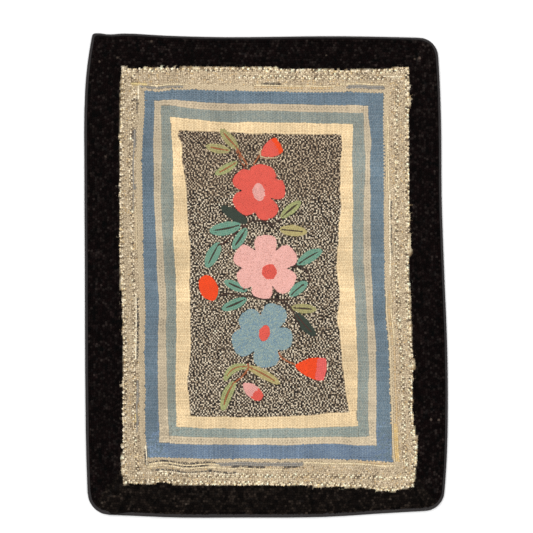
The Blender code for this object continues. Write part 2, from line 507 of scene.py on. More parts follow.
# %% A loop and the room it takes
Loop = namedtuple("Loop", "x y heading length width root crown colours lean")
CELL = 6.0
LEAN = 0.3
HEIGHT_SPREAD = (-0.16, 0.064)
DARKEST = 0.001
RIM_START = 10.0
RIM_WIDTH = 7.0

piles = {}
taken = {}


def ground_level(x, y):
    """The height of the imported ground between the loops."""
    share = min(max((inset_at(x, y) - RIM_START) / RIM_WIDTH, 0.0), 1.0)
    return CLOTH_TOP + (face_height(x, y) - CROWN_DEPTH - CLOTH_TOP) * share


def has_room(x, y, gap):
    """True if no loop has its middle within this gap of the place."""
    column, row = int(x // CELL), int(y // CELL)
    for near_column in (column - 1, column, column + 1):
        for near_row in (row - 1, row, row + 1):
            for other_x, other_y in taken.get((near_column, near_row), ()):
                if (other_x - x) ** 2 + (other_y - y) ** 2 < gap * gap:
                    return False
    return True


def lay(pile, x, y, heading, size, colours, gap=0.0, rise=0.0, unevenness=0.03):
    """Adds one loop to a pile where there is room, and says whether it did."""
    if gap and not has_room(x, y, gap):
        return False
    taken.setdefault((int(x // CELL), int(y // CELL)), []).append((x, y))
    shade = 1 + unevenness * rng.standard_normal()
    root = ground_level(x, y) - ROOT_DEPTH
    crown = face_height(x, y) + rise + rng.uniform(*HEIGHT_SPREAD)
    lean = rng.uniform(-LEAN, LEAN, 2)
    tinted = [[min(max(value * shade, DARKEST), 1.0) for value in colour] for colour in colours]
    piles.setdefault(pile, []).append(Loop(x, y, heading, *size, root, crown, tinted, lean))
    return True


# %% [markdown]
# Most hooking follows a line: the edge of a petal, the vein of a leaf or a side of the border. This
# helper walks along such a line at even steps and gives the place and the heading at each step.

# %% Walk along a line
def walk(points, pitch, closed=False):
    """Yields x, y and heading at even steps along a line of points."""
    line = np.array([tuple(point)[:2] for point in points], dtype=float)
    if closed:
        line = np.vstack([line, line[:1]])
    steps = np.diff(line, axis=0)
    lengths = np.hypot(*steps.T)
    run = np.concatenate([[0.0], np.cumsum(lengths)])
    count = max(1, round(run[-1] / pitch))
    for place in (np.arange(count) + 0.5) * run[-1] / count:
        index = min(int(np.searchsorted(run, place)) - 1, len(steps) - 1)
        share = (place - run[index]) / max(lengths[index], 1e-9)
        x, y = line[index] + steps[index] * share
        yield x, y, math.atan2(steps[index][1], steps[index][0])


FINE_ROW = 3.7
FINE_STEP = 4.6
CLOSE_STEP = FINE_STEP * 0.9
FINE_SIZE = (7.2, 5.5)
FINE_GAP = 2.9
FINE_RISE = 0.2
FILL_GAP = 2.5
FILL_STEP = 1.6


def hook_line(
    pile, line, yarn, width=FINE_SIZE[1], step=CLOSE_STEP, gap=FINE_GAP, rise=FINE_RISE, closed=False
):
    """One row of loops along a line."""
    for x, y, heading in walk(line, step, closed):
        lay(pile, x, y, heading, (FINE_SIZE[0], width), pick_pair(yarn), gap, rise)


print("walk a 100 mm line:", len(list(walk([(0, 0), (100, 0)], FINE_STEP))), "loops")

# %% [markdown]
# A flower is hooked from its outline inwards, in rows that slowly change from the outline of the petals
# to the oval of the heart. The outline is a formula: between two notches the radius swells from the
# notch to the petal's full reach, steeply beside the notch and then flat. That gives full petals with
# narrow notches, which stay open by a few degrees. Squarer petals are steeper there, and a little drift
# keeps the line uneven. One short row of the field's yarn is hooked into each notch first, to keep it
# open, and a last pass with closer loops fills the holes. Angles are in degrees, lengths in millimetres.

# %% Flowers
Petal = namedtuple("Petal", "notch_angle notch_reach petal_reach")
Heart = namedtuple("Heart", "shift long wide heading yarn")
Flower = namedtuple("Flower", "pixel heart petals squareness yarn")
RAGGEDNESS = 1.3
RAG_SIZE = 8.0
NOTCH_START = 3
NOTCH_OVERRUN = 2
NOTCH_SIZE = (5.0, 4.0)
NOTCH_RISE = 0.6
NOTCH_CLEARANCE = 2.8
FIRST_ROW = 0.72
FILL_PARTS = 3
CORAL_FLOWER = Flower(
    pixel=(258.5, 191.6),
    heart=Heart(shift=(1, -2), long=21, wide=13.5, heading=100, yarn=PALE_PINK),
    petals=(
        Petal(-100, 45, 65),
        Petal(-28, 28, 60),
        Petal(38, 46, 61),
        Petal(112, 52, 63),
        Petal(176, 34, 62),
    ),
    squareness=3.8,
    yarn=CORAL,
)
PINK_FLOWER = Flower(
    pixel=(266.6, 268.9),
    heart=Heart(shift=(6, -7), long=18, wide=16.5, heading=70, yarn=CORAL),
    petals=(
        Petal(1.5, 43, 72),
        Petal(63, 44, 75),
        Petal(122, 46, 78),
        Petal(178, 52, 69),
        Petal(229, 51, 66),
        Petal(289, 37, 69),
    ),
    squareness=4.8,
    yarn=PINK,
)
SLATE_FLOWER = Flower(
    pixel=(264.0, 335.9),
    heart=Heart(shift=(1, 5), long=19.5, wide=12, heading=76, yarn=CORAL),
    petals=(
        Petal(-45, 42, 63),
        Petal(28, 38, 75),
        Petal(99, 45, 68),
        Petal(162, 54, 73),
        Petal(237, 39, 70),
    ),
    squareness=3.6,
    yarn=SLATE_BLUE,
)
ANGLE_STEP = 3
PETAL_WANDER = 0.3
HEART_RISE = 0.3
FILL_RISE = 0.1
HEART_RAGGEDNESS = 2.4
HEART_RAG_SIZE = 13.0


def flower_radius(flower, angle):
    """The reach of the flower at this angle, in degrees."""
    petals = flower.petals
    for index, petal in enumerate(petals):
        following = petals[(index + 1) % len(petals)]
        width = (following.notch_angle - petal.notch_angle) % 360
        share = ((angle - petal.notch_angle) % 360) / width
        if share < 1:
            clear = NOTCH_CLEARANCE / width
            past_notch = min(max((share - clear) / (1 - 2 * clear), 0.0), 1.0)
            swell = 1 - abs(2 * past_notch - 1) ** flower.squareness
            notch = petal.notch_reach + (following.notch_reach - petal.notch_reach) * share
            rag = RAGGEDNESS * drift(angle, petal.petal_reach, RAG_SIZE, serial=6)
            return notch + (petal.petal_reach - notch) * swell + rag
    return petals[0].petal_reach


def heart_radius(heart, angle):
    """The radius of the uneven oval heart at this angle."""
    turn = math.radians(angle - heart.heading)
    along, across = math.cos(turn), math.sin(turn)
    rag = drift(heart.long * along, heart.long * across, HEART_RAG_SIZE, serial=6)
    return 1 / math.hypot(along / heart.long, across / heart.wide) + HEART_RAGGEDNESS * rag


def round_line(middle, radius):
    """A closed line round a middle, from a function of the angle."""
    line = []
    for angle in range(0, 360, ANGLE_STEP):
        turn = math.radians(angle)
        line.append(middle + Vector((math.cos(turn), math.sin(turn))) * radius(angle))
    return line


def hook_notches(flower):
    """A short row of the field's yarn in each notch."""
    middle = on_cloth(flower.pixel)
    for petal in flower.petals:
        turn = math.radians(petal.notch_angle)
        outwards = Vector((math.cos(turn), math.sin(turn)))
        ends = (petal.notch_reach + NOTCH_START, petal.petal_reach + NOTCH_OVERRUN)
        line = [middle + outwards * reach for reach in ends]
        for number, (x, y, heading) in enumerate(walk(line, FINE_STEP)):
            pile = "pile_field_upper" if y > 0 else "pile_field_lower"
            yarn = FIELD_LIGHT if number % 3 == 1 else FIELD_DARK
            lay(pile, x, y, heading, NOTCH_SIZE, pick_pair(yarn), FINE_GAP, NOTCH_RISE)


def hook_flower(pile, flower):
    """Lays the rows of one flower, from its outline inwards, and then its heart."""
    middle = on_cloth(flower.pixel) + Vector(flower.heart.shift)
    offset = -Vector(flower.heart.shift)
    reach = max(petal.petal_reach for petal in flower.petals)
    rows = round((reach - flower.heart.wide) / FINE_ROW)

    def flower_ring(share):
        """The line this far from the heart's edge, at 0, to the flower's outline, at 1."""

        def radius(angle):
            heart = heart_radius(flower.heart, angle)
            return heart + (flower_radius(flower, angle) - heart) * share

        return round_line(middle + offset * share, radius)

    def heart_ring(share):
        """The oval this far from the middle, at 0, to the heart's edge, at 1."""
        return round_line(middle, lambda angle: heart_radius(flower.heart, angle) * share)

    for row in range(rows, 0, -1):
        for x, y, heading in walk(flower_ring((row - FIRST_ROW) / rows), CLOSE_STEP, closed=True):
            wander = PETAL_WANDER * rng.standard_normal(2)
            place = (x + wander[0], y + wander[1])
            lay(pile, *place, heading, FINE_SIZE, pick_pair(flower.yarn), FINE_GAP, FINE_RISE)
    heart_rows = round(flower.heart.wide / FINE_ROW)
    for row in range(heart_rows, 0, -1):
        line = heart_ring((row - 0.5) / heart_rows)
        hook_line(pile, line, flower.heart.yarn, rise=HEART_RISE, closed=True)
    filling = {"step": FILL_STEP, "gap": FILL_GAP, "closed": True}
    for row in range(FILL_PARTS * (rows - 1), 0, -1):
        line = flower_ring(row / (FILL_PARTS * rows))
        hook_line(pile, line, flower.yarn, rise=FILL_RISE, **filling)
    for row in range(2 * heart_rows - 1, 0, -1):
        hook_line(pile, heart_ring(row / (2 * heart_rows)), flower.heart.yarn, **filling)


# %% [markdown]
# Stems, leaves and buds share one shape: a middle line from a base to a tip, with a width that swells
# and ends. A leaf ends in a point and may be bent to one side. A bud grows from its stem to its belly
# and then closes, the more abruptly the blunter it is. A leaf has one row for its vein and then rows
# beside it, out to the edge.

# %% Leaves, buds and stems
Leaf = namedtuple("Leaf", "base tip width bend yarn vein")
Bud = namedtuple("Bud", "base tip width belly bluntness yarn second_yarn second_from")
Stem = namedtuple("Stem", "yarn thickness pixels")
LEAF_FULLNESS = 0.58
BUD_FULLNESS = 0.8
BUD_FILL = (0.93, 0.8, 0.65)
VEIN_SHARE = (0.04, 0.84)
VEIN_WIDTH = 3.2
VEIN_RISE = 0.35
LEAF_FILL = 0.8
LEAF_MIDDLE = 0.4
STEM_GAP = 2.2
SPINE_STEPS = 24
SPINE_LOOK = 0.01
MOTIF_MARGIN = 2.0


def spine_point(base, tip, bend, share):
    """A point of the bent middle line."""
    run = tip - base
    sideways = Vector((-run.y, run.x)).normalized()
    return base + run * share + sideways * (4 * bend * share * (1 - share))


def in_flower(flower, x, y):
    """True for a place well inside a flower."""
    offset = Vector((x, y)) - on_cloth(flower.pixel)
    reach = flower_radius(flower, math.degrees(math.atan2(offset.y, offset.x)))
    return offset.length < reach - MOTIF_MARGIN


def in_shape(shape, x, y):
    """True for a place well inside a leaf or a bud."""
    base, tip = on_cloth(shape.base), on_cloth(shape.tip)
    run = tip - base
    place = Vector((x, y))
    share = (place - base).dot(run) / run.length_squared
    if not 0 < share < 1:
        return False
    bend = shape.bend if isinstance(shape, Leaf) else 0.0
    across = (place - spine_point(base, tip, bend, share)).length
    return across < half_width(shape, share) - MOTIF_MARGIN


def half_width(shape, share):
    """Half of the width at this share of the length."""
    if isinstance(shape, Leaf):
        return shape.width / 2 * max(math.sin(math.pi * share), 0.0) ** LEAF_FULLNESS
    if share < shape.belly:
        return shape.width / 2 * math.sin(math.pi / 2 * share / shape.belly) ** BUD_FULLNESS
    past = (share - shape.belly) / (1 - shape.belly)
    return shape.width / 2 * max(1 - past**shape.bluntness, 0.0) ** (1 / shape.bluntness)


def side_line(shape, across, start=0.0, end=1.0):
    """A line along the shape, at this share of its half width, from -1 at the right to 1 at the left."""
    base, tip = on_cloth(shape.base), on_cloth(shape.tip)
    bend = shape.bend if isinstance(shape, Leaf) else 0.0
    line = []
    for step in range(SPINE_STEPS + 1):
        share = start + (end - start) * step / SPINE_STEPS
        middle = spine_point(base, tip, bend, share)
        ahead = spine_point(base, tip, bend, min(share + SPINE_LOOK, 1.0))
        behind = spine_point(base, tip, bend, max(share - SPINE_LOOK, 0.0))
        run = (ahead - behind).normalized()
        sideways = Vector((-run.y, run.x))
        line.append(middle + sideways * (across * half_width(shape, share)))
    return line


def row_shares(width):
    """How far out each side row lies, from 0 to 1, the outermost first."""
    count = max(1, round((width / 2 - FINE_ROW / 2) / FINE_ROW))
    outermost = 1 - FINE_ROW / 2 / (width / 2)
    return [outermost * row / count for row in range(count, 0, -1)]


def hook_leaf(pile, leaf):
    """The vein first, then the rows beside it, and closer loops in the holes."""
    if leaf.vein:
        hook_line(pile, side_line(leaf, 0.0, *VEIN_SHARE), leaf.vein, width=VEIN_WIDTH, rise=VEIN_RISE)
    shares = [side * share for share in row_shares(leaf.width) for side in (1, -1)]
    for share in (*shares, 0.0):
        hook_line(pile, side_line(leaf, share), leaf.yarn)
    for share in (*shares, LEAF_MIDDLE, -LEAF_MIDDLE):
        hook_line(pile, side_line(leaf, share * LEAF_FILL), leaf.yarn, step=FILL_STEP, gap=FILL_GAP)


def hook_bud(pile, bud):
    """Rows along the bud, in one yarn and then, near its end, in a second one."""
    run = on_cloth(bud.tip) - on_cloth(bud.base)
    shares = [side * share for share in row_shares(bud.width) for side in (1, -1)] + [0.0]
    passes = [(share, CLOSE_STEP, FINE_GAP) for share in shares]
    passes += [(share * part, FILL_STEP, FILL_GAP) for share in shares for part in BUD_FILL]
    for share, step, gap in passes:
        for x, y, heading in walk(side_line(bud, share), step):
            from_base = (Vector((x, y)) - on_cloth(bud.base)).dot(run) / run.length_squared
            yarn = bud.second_yarn if from_base > bud.second_from else bud.yarn
            lay(pile, x, y, heading, FINE_SIZE, pick_pair(yarn), gap, FINE_RISE)


def hook_stem(pile, stem):
    """One row of loops from point to point."""
    line = [on_cloth(pixel) for pixel in stem.pixels]
    hook_line(pile, line, stem.yarn, width=stem.thickness, gap=STEM_GAP)


# %% [markdown]
# The sprays of leaves stand between the flowers, each on its own short stem. In these tables a leaf and
# a bud run from a base to a tip, in the picture's pixels, with widths and bends in millimetres. Along a
# bud, the belly, where it is widest, and the start of the second yarn are shares of its length. Flowers
# are hooked first, since they lie over the stems, and leaves last.

# %% Where the leaves, buds and stems are
LEAVES = (
    Leaf((238, 148.5), (221, 129.5), 21, 1, OLIVE, RUST),
    Leaf((229.5, 150.5), (206.5, 146), 20, 1, OLIVE, RUST),
    Leaf((236.7, 162), (215.5, 174.2), 18, 1, LIGHT_GREEN, RUST),
    Leaf((246.5, 222.9), (221.5, 206.8), 23, 0, DARK_GREEN, None),
    Leaf((240.5, 224.8), (210, 230.8), 29, 2, TEAL_LEAF, DARK_BROWN),
    Leaf((246, 228.5), (233, 248.5), 22, 1, TEAL_LEAF, DARK_BROWN),
    Leaf((219.5, 243), (207, 267), 27, -1, TEAL_LEAF, DARK_BROWN),
    Leaf((246.5, 290.5), (225, 281), 20, 1, TEAL_LEAF, DARK_BROWN),
    Leaf((298, 264.5), (321.5, 250.5), 25, 2, TEAL_LEAF, DARK_BROWN),
    Leaf((290.5, 296), (307, 282.5), 23, 2, TEAL_LEAF, DARK_BROWN),
    Leaf((246, 298.8), (222.5, 309), 22, 1, TEAL_LEAF, DARK_BROWN),
    Leaf((281.5, 217.5), (300.5, 201.8), 21, 1, LIGHT_GREEN, DARK_BROWN),
    Leaf((280.3, 229.4), (306.5, 232), 24, 0, YELLOW_OLIVE, DARK_BROWN),
    Leaf((292.2, 307.7), (316, 309.5), 20, 0, OLIVE, DARK_BROWN),
    Leaf((295.5, 313), (315, 335), 23, -2, DARK_GREEN, MAROON),
    Leaf((248.3, 367), (224.7, 381), 17, -13, LIGHT_GREEN, RUST),
    Leaf((247.5, 366.5), (279.5, 384), 19, 2, YELLOW_OLIVE, RUST),
    Leaf((235.5, 381), (223, 410.5), 22, -5, LIGHT_GREEN, RUST),
)
BUDS = (
    Bud((261.8, 154.6), (279.6, 144.2), 38, 0.70, 5.0, CORAL, ORANGE_RED, 0.80),
    Bud((213.8, 300.2), (203.6, 276.4), 40, 0.42, 2.3, ORANGE_RED, CORAL, 2.0),
    Bud((295.8, 366), (325.6, 369.8), 50, 0.82, 5.0, ORANGE_RED, ROSE, 0.70),
    Bud((244, 384), (261.2, 398.6), 28, 0.46, 2.5, PALE_PINK, CORAL, 0.62),
)
STEMS = (
    Stem(PALE_OUTLINE, 2.6, ((262, 148.5), (259.6, 152), (260.8, 156.4), (267, 158), (276.6, 157.8))),
    Stem(SEPAL, 2.6, ((218.6, 289.5), (218.4, 295), (215.4, 300.6), (208, 300.6))),
    Stem(RUST, 5.2, ((236.7, 147.5), (240.5, 154.5), (246, 162.5), (251, 169.5))),
    Stem(RUST_MIXED, 4.0, ((236.4, 151), (240, 157.6), (240.6, 162.4), (246.4, 167.6))),
    Stem(RUST, 4.2, ((260.3, 153.5), (257.5, 158.5), (253.6, 164.5))),
    Stem(MAROON, 4.0, ((239.8, 226.2), (247.5, 225.8))),
    Stem(MAROON, 3.0, ((237, 231), (229.5, 238), (223, 243.6), (219, 245))),
    Stem(DARK_BROWN, 4.4, ((247, 222.9), (253, 221), (260, 220.5), (266, 222), (271.4, 225))),
    Stem(DARK_BROWN, 4.4, ((271.4, 225.6), (276.5, 222), (282.5, 218))),
    Stem(DARK_BROWN, 4.2, ((273.5, 225.8), (280.5, 228.9))),
    Stem(DARK_BROWN, 4.2, ((286.5, 268), (291, 266.6), (297, 266), (301.5, 265.4))),
    Stem(DARK_BROWN, 4.0, ((302.6, 267.5), (307, 271.5), (309.5, 275.5), (309.3, 281))),
    Stem(DARK_BROWN, 3.6, ((272, 286), (275, 290), (279.3, 296))),
    Stem(DARK_BROWN, 3.4, ((246, 242.5), (251.7, 244.8), (255.3, 249.6))),
    Stem(
        DARK_BROWN,
        4.6,
        (
            (219, 295.4),
            (230.3, 293.8),
            (244.1, 296.1),
            (253.3, 296.3),
            (260.5, 299),
            (274.4, 299.3),
            (280, 300.8),
            (291, 298.7),
        ),
    ),
    Stem(
        DARK_BROWN,
        4.4,
        ((282.5, 302), (287.5, 305), (292, 309), (294.3, 314.6), (296.5, 320.4), (300, 326)),
    ),
    Stem(RUST, 5.2, ((277.4, 350.8), (281.4, 357.6), (288.8, 362.2), (297, 365.2))),
    Stem(RUST, 4.4, ((247.9, 363.2), (248.2, 369), (241.6, 377.2), (233.2, 383.4))),
)

FLOWERS = (CORAL_FLOWER, PINK_FLOWER, SLATE_FLOWER)
for flower in FLOWERS:
    hook_notches(flower)
    hook_flower("pile_flowers", flower)
for bud in BUDS:
    hook_bud("pile_flowers", bud)
for stem in STEMS:
    hook_stem("pile_flowers", stem)
for leaf in LEAVES:
    hook_leaf("pile_flowers", leaf)
print("loops in the flowers", len(piles["pile_flowers"]))

# %% [markdown]
# The inner bands are hooked in short rows across the band, so that fine ribs run straight across it.
# The strips that run through the corners are hooked first, and the others fill the room between them.
# Each row starts and ends a little unevenly, as it does where a hand turns the strip of wool.

# %% The smooth bands
Band = namedtuple("Band", "pile outer inner yarns through")
BANDS = (
    Band("pile_cream_and_teal", CREAM_EDGE, FIELD_EDGE, CREAM_SIDES, ("top", "bottom")),
    Band("pile_cream_and_teal", TEAL_EDGE, CREAM_EDGE, TEAL, ("left", "right")),
    Band("pile_blue_and_beige", BEIGE_EDGE, TEAL_EDGE, BEIGE, ("left", "right")),
    Band("pile_blue_and_beige", BLUE_EDGE, BEIGE_EDGE, BLUE, ("top", "bottom")),
)
LONGEST_RUN = 480
ROWS_ALONG = round(2 * LONGEST_RUN / FINE_ROW)
RIB_STEP = 5.0
RIB_SIZE = (8.0, 5.2)
ROW_END_WAVER = 0.4
ROW_SHADE = 0.05
STAGGER = 0.25
CORNER_FADE = 0.3
ROW_SWAY = 0.8
ROW_SWAY_SIZE = 26
ROW_JITTER = 0.12
ROW_TURN = 0.06
BAND_MARGIN = 0.8
DYE_PATCH = 55.0
DYE_UNEVENNESS = 0.22


def dye_patch(x, y, colours, factor=1.0):
    """The colours with the slow change of an uneven dye bath."""
    factor *= 1 + DYE_UNEVENNESS * drift(x, y, DYE_PATCH, serial=9)
    return [[value * factor for value in colour] for colour in colours]


def yarn_near(outer, yarns, x, y):
    """The yarn of the nearer side, with a change by and by near a corner."""
    flank = "right" if x > 0 else "left"
    end = "top" if y > 0 else "bottom"
    corner_x, corner_y = getattr(outer, f"{end}_{flank}")
    on_flank = 0.5 + (x / corner_x - y / corner_y) / CORNER_FADE
    return yarns[flank if rng.random() < on_flank else end]


def across_heading(side):
    """The heading of a row that runs across this side."""
    return 0.0 if SIDES[side].along == 1 else math.pi / 2


def hook_strip(pile, outer, inner, side, yarns):
    """Rows across one side of a band, from its inner line to its outer line."""
    heading = across_heading(side)
    for row in range(ROWS_ALONG):
        place = row * FINE_ROW - LONGEST_RUN
        near = side_at(inner, side, place)
        far = side_at(outer, side, place)
        waver = ROW_END_WAVER * rng.standard_normal()
        count = max(1, round(abs(far - near) / RIB_STEP))
        shade = 1 + ROW_SHADE * rng.standard_normal()
        for number in range(count):
            stagger = 0.0 if number in (0, count - 1) else (STAGGER if row % 2 else -STAGGER)
            across = near + (far - near) * (number + 0.5 + stagger) / count + waver
            sway = ROW_SWAY * drift(across, place, ROW_SWAY_SIZE, serial=4)
            x, y = on_side(side, place + sway + ROW_JITTER * rng.standard_normal(), across)
            if not inside(outer, x, y, BAND_MARGIN) or inside(inner, x, y, -BAND_MARGIN):
                continue
            turn = heading + ROW_TURN * rng.standard_normal()
            colours = dye_patch(x, y, pick_pair(yarn_near(outer, yarns, x, y)), shade)
            lay(pile, x, y, turn, RIB_SIZE, colours, FINE_GAP)


for band in BANDS:
    others = [side for side in SIDES if side not in band.through]
    for side in (*band.through, *others):
        hook_strip(band.pile, band.outer, band.inner, side, band.yarns)
print("loops in the smooth bands", {name: len(loops) for name, loops in piles.items()})

# %% [markdown]
# The wide speckled band is hooked in thicker, mixed yarn. Beside the blue band it starts with a strip of
# fine ribs. Odd lengths of cream, grey, ochre and dark yarn lie along that strip, each in one wandering
# row, which was perhaps what was left in the maker's basket. The dark lengths are partly dark yarn, as
# in the waving rows along the bottom, and partly painted shadow: a thin dark line in the crease where
# the thicker pile meets the strip of fine ribs. Each row of this table gives the side, where the length
# starts and ends along it, how far outside the blue band it lies, how wide it is, and how far it wanders.

# %% Odd lengths of yarn beside the blue band
OddLength = namedtuple("OddLength", "side start end depth width wander yarn wave", defaults=(0.0,))
CREAM_END = (Strand(0.75, dye(238, 219, 180)), Strand(0.25, dye(202, 182, 147)))
WHITE_END = (Strand(0.8, dye(250, 236, 206)), Strand(0.2, dye(206, 188, 156)))
SPOTTED_END = (Strand(0.45, dye(250, 236, 206)), Strand(0.55, dye(194, 174, 144)))
PALE_END = plain(214, 194, 158)
YELLOW_END = plain(226, 203, 146)
OCHRE_END = halves((208, 178, 130), (206, 182, 148))
BRIGHT_OCHRE_END = (Strand(0.6, dye(218, 184, 122)), Strand(0.4, dye(222, 196, 146)))
GREY_END = (Strand(0.6, dye(158, 150, 138)), Strand(0.4, dye(146, 142, 136)))
# Dark yarn, and in the thin lines beside the pale lengths, painted shadow of the crease between the thicker
# pile and the fine ribs.
DARK_END_AND_CREASE_SHADOW = (
    Strand(0.5, dye(64, 58, 58)),
    Strand(0.25, dye(112, 104, 96)),
    Strand(0.25, dye(196, 178, 148)),
)
ODD_LENGTHS = (
    OddLength("top", -297, -255, 12.5, 3.4, 1.0, YELLOW_END),
    OddLength("top", -258, -172, 12.5, 3.4, 2.0, CREAM_END),
    OddLength("top", -278, -180, 7.4, 3.2, 0.6, GREY_END),
    OddLength("top", -26, 158, 13.0, 3.4, 1.0, CREAM_END),
    OddLength("top", -26, 152, 8.8, 4.2, 1.0, OCHRE_END),
    OddLength("top", -10, 36, 16.4, 1.4, 1.0, DARK_END_AND_CREASE_SHADOW),
    OddLength("top", 163, 268, 17.5, 3.2, 1.2, CREAM_END),
    OddLength("top", 258, 302, 36.0, 2.6, 1.5, WHITE_END),
    OddLength("top", 180, 262, 13.4, 4.0, 1.0, GREY_END),
    OddLength("top", 176, 262, 9.6, 4.0, 1.0, GREY_END),
    OddLength("bottom", -262, -108, 9.6, 2.3, 1.2, DARK_END_AND_CREASE_SHADOW, 2.6),
    OddLength("bottom", -258, -100, 13.2, 3.2, 1.2, CREAM_END, 2.6),
    OddLength("bottom", -214, -118, 16.4, 2.1, 1.2, DARK_END_AND_CREASE_SHADOW, 2.6),
    OddLength("bottom", -262, -60, 19.8, 3.2, 1.2, CREAM_END, 2.2),
    OddLength("bottom", -252, -64, 28.6, 2.3, 1.4, DARK_END_AND_CREASE_SHADOW, 2.6),
    OddLength("bottom", -286, -55, 32.4, 3.6, 1.4, SPOTTED_END, 2.2),
    OddLength("bottom", -110, 85, 9.5, 4.2, 1.5, GREY_END),
    OddLength("bottom", -100, 85, 13.6, 4.2, 1.5, GREY_END),
    OddLength("bottom", -74, 0, 18.2, 2.0, 2.5, DARK_END_AND_CREASE_SHADOW),
    OddLength("bottom", 40, 82, 17.6, 2.0, 1.5, DARK_END_AND_CREASE_SHADOW),
    OddLength("bottom", -60, 40, 22.0, 3.2, 2.5, CREAM_END),
    OddLength("bottom", 82, 292, 9.5, 3.8, 2.0, CREAM_END),
    OddLength("bottom", 200, 270, 4.4, 4.4, 1.0, OCHRE_END),
    OddLength("left", 388, 420, 13.0, 3.8, 0.0, WHITE_END),
    OddLength("left", 350, 400, 16.4, 2.1, 0.6, DARK_END_AND_CREASE_SHADOW),
    OddLength("left", 188, 326, 18.6, 3.2, 1.0, GREY_END),
    OddLength("left", 300, 328, 21.6, 2.0, 1.0, DARK_END_AND_CREASE_SHADOW),
    OddLength("left", 142, 188, 20.0, 1.9, 1.0, GREY_END),
    OddLength("left", 56, 156, 15.0, 3.0, 1.0, PALE_END),
    OddLength("left", -197, -44, 16.6, 1.9, 1.4, DARK_END_AND_CREASE_SHADOW),
    OddLength("left", -184, -36, 19.8, 3.2, 1.4, WHITE_END),
    OddLength("left", -416, -372, 2.6, 2.8, 0.4, WHITE_END),
    OddLength("left", -416, -378, 6.0, 2.0, 0.4, DARK_END_AND_CREASE_SHADOW),
    OddLength("left", -345, -228, 18.0, 2.8, 1.0, GREY_END),
    OddLength("left", -322, -298, 20.8, 2.8, 0.5, YELLOW_END),
    OddLength("right", 186, 352, 9.6, 3.4, 2.2, CREAM_END),
    OddLength("right", 186, 340, 5.4, 3.6, 1.0, PALE_END),
    OddLength("right", 0, 190, 12.6, 3.6, 1.2, WHITE_END),
    OddLength("right", 124, 168, 16.4, 1.9, 1.0, DARK_END_AND_CREASE_SHADOW),
    OddLength("right", 44, 112, 16.4, 1.9, 1.0, DARK_END_AND_CREASE_SHADOW),
    OddLength("right", -153, -30, 9.0, 3.6, 1.2, OCHRE_END),
    OddLength("right", -153, -30, 13.4, 3.2, 1.2, CREAM_END),
    OddLength("right", -330, -150, 12.4, 3.8, 1.0, OCHRE_END),
    OddLength("right", -410, -322, 8.4, 4.6, 0.8, BRIGHT_OCHRE_END),
    OddLength("right", -410, -326, 12.6, 4.6, 0.8, BRIGHT_OCHRE_END),
    OddLength("right", -412, -30, 3.4, 4.2, 0.8, PALE_END),
)
OUTWARD = {"left": -1, "right": 1, "top": 1, "bottom": -1}
WANDER_SIZE = 38.0
WAVE_LENGTH = 100.0
SIDE_STEP = 300
BESIDE_STEP = 6.0
ODD_STEP = 4.4
ODD_LOOP_LENGTH = 6.4
ODD_FULLNESS = 1.15
ODD_GAP = 2.1
ODD_RISE = 0.15
ODD_TURN = 0.1
ODD_UNEVENNESS = 0.06


def line_beside(side, start, end, depth, wander=0.0, wave=0.0):
    """A line beside one side of the blue band, this far outside it, wandering or waving in and out."""
    line = []
    for place in np.arange(start, end, BESIDE_STEP):
        patch = drift(place, SIDES[side].along * SIDE_STEP, WANDER_SIZE, serial=len(side))
        out = depth + wander * patch
        out += wave * math.sin(2 * math.pi * place / WAVE_LENGTH)
        line.append(on_side(side, place, side_at(BLUE_EDGE, side, place) + OUTWARD[side] * out))
    return line


for odd in ODD_LENGTHS:
    line = line_beside(odd.side, odd.start, odd.end, odd.depth, odd.wander, odd.wave)
    for x, y, heading in walk(line, ODD_STEP):
        turn = heading + ODD_TURN * rng.standard_normal()
        size = (ODD_LOOP_LENGTH, odd.width * ODD_FULLNESS)
        colours = pick_pair(odd.yarn)
        lay("pile_speckled", x, y, turn, size, colours, ODD_GAP, ODD_RISE, ODD_UNEVENNESS)
print("loops in the odd lengths", len(piles["pile_speckled"]))

# %% [markdown]
# The outer rim of the speckled band and one row along its middle have fuller loops, in which cream and
# dark spots take turns. The rest is filled with smaller loops of the mixed beige yarn.

# %% Spots, rim and filling
Spot = namedtuple("Spot", "yarn size")
SPOT_CYCLE = (
    Spot((Strand(0.7, dye(242, 226, 196)), Strand(0.3, dye(212, 190, 150))), (5.0, 3.8)),
    Spot(SPECKLED_YARN, (5.0, 4.2)),
    Spot((Strand(0.55, dye(98, 82, 66)), Strand(0.45, dye(160, 139, 112))), (3.6, 3.2)),
)
SPOT_STEP = 3.5
SPOT_DEPTHS = {"left": 24.5, "right": 28.0, "top": 32.0, "bottom": 37.0}
SPOT_RUNS = {"left": (-448, 448), "right": (-452, 448), "top": (-60, 300), "bottom": (-250, 310)}
RIM_CYCLE = (
    Spot((Strand(0.7, dye(244, 229, 200)), Strand(0.3, dye(222, 198, 150))), (6.2, 4.4)),
    Spot((Strand(0.6, dye(200, 181, 150)), Strand(0.4, dye(218, 200, 170))), (5.6, 4.4)),
    Spot((Strand(0.6, dye(100, 84, 68)), Strand(0.4, dye(176, 150, 112))), (3.8, 3.4)),
)
RIM_STEP = 4.0
RIM_INSET = 2.6
SECOND_INSET = 7.4
SPOT_GAP = 2.7
SPOT_RISE = 0.25
SPOT_SIZE_SPREAD = 0.14
SPOT_TURN = 0.35
SPOT_UNEVENNESS = 0.08
SPOT_WANDER = 1.5
SLANT = 1.0
OUT_OF_TURN = 0.15
RING_PLACES = 90
RIB_DEPTHS = (2.0, 6.2, 10.4)
RIB_PAST_CORNER = 12
RIB_STAGGER = 1.0
RIB_TURN = 0.1
SPECKLED_RIB_SIZE = (6.8, 5.2)
BODY_START = 3.8
BODY_ROW = 3.7
BODY_STEP = 4.0
BODY_SIZE = (5.4, 4.6)
BODY_ROWS = 19
BODY_GAP = 2.8
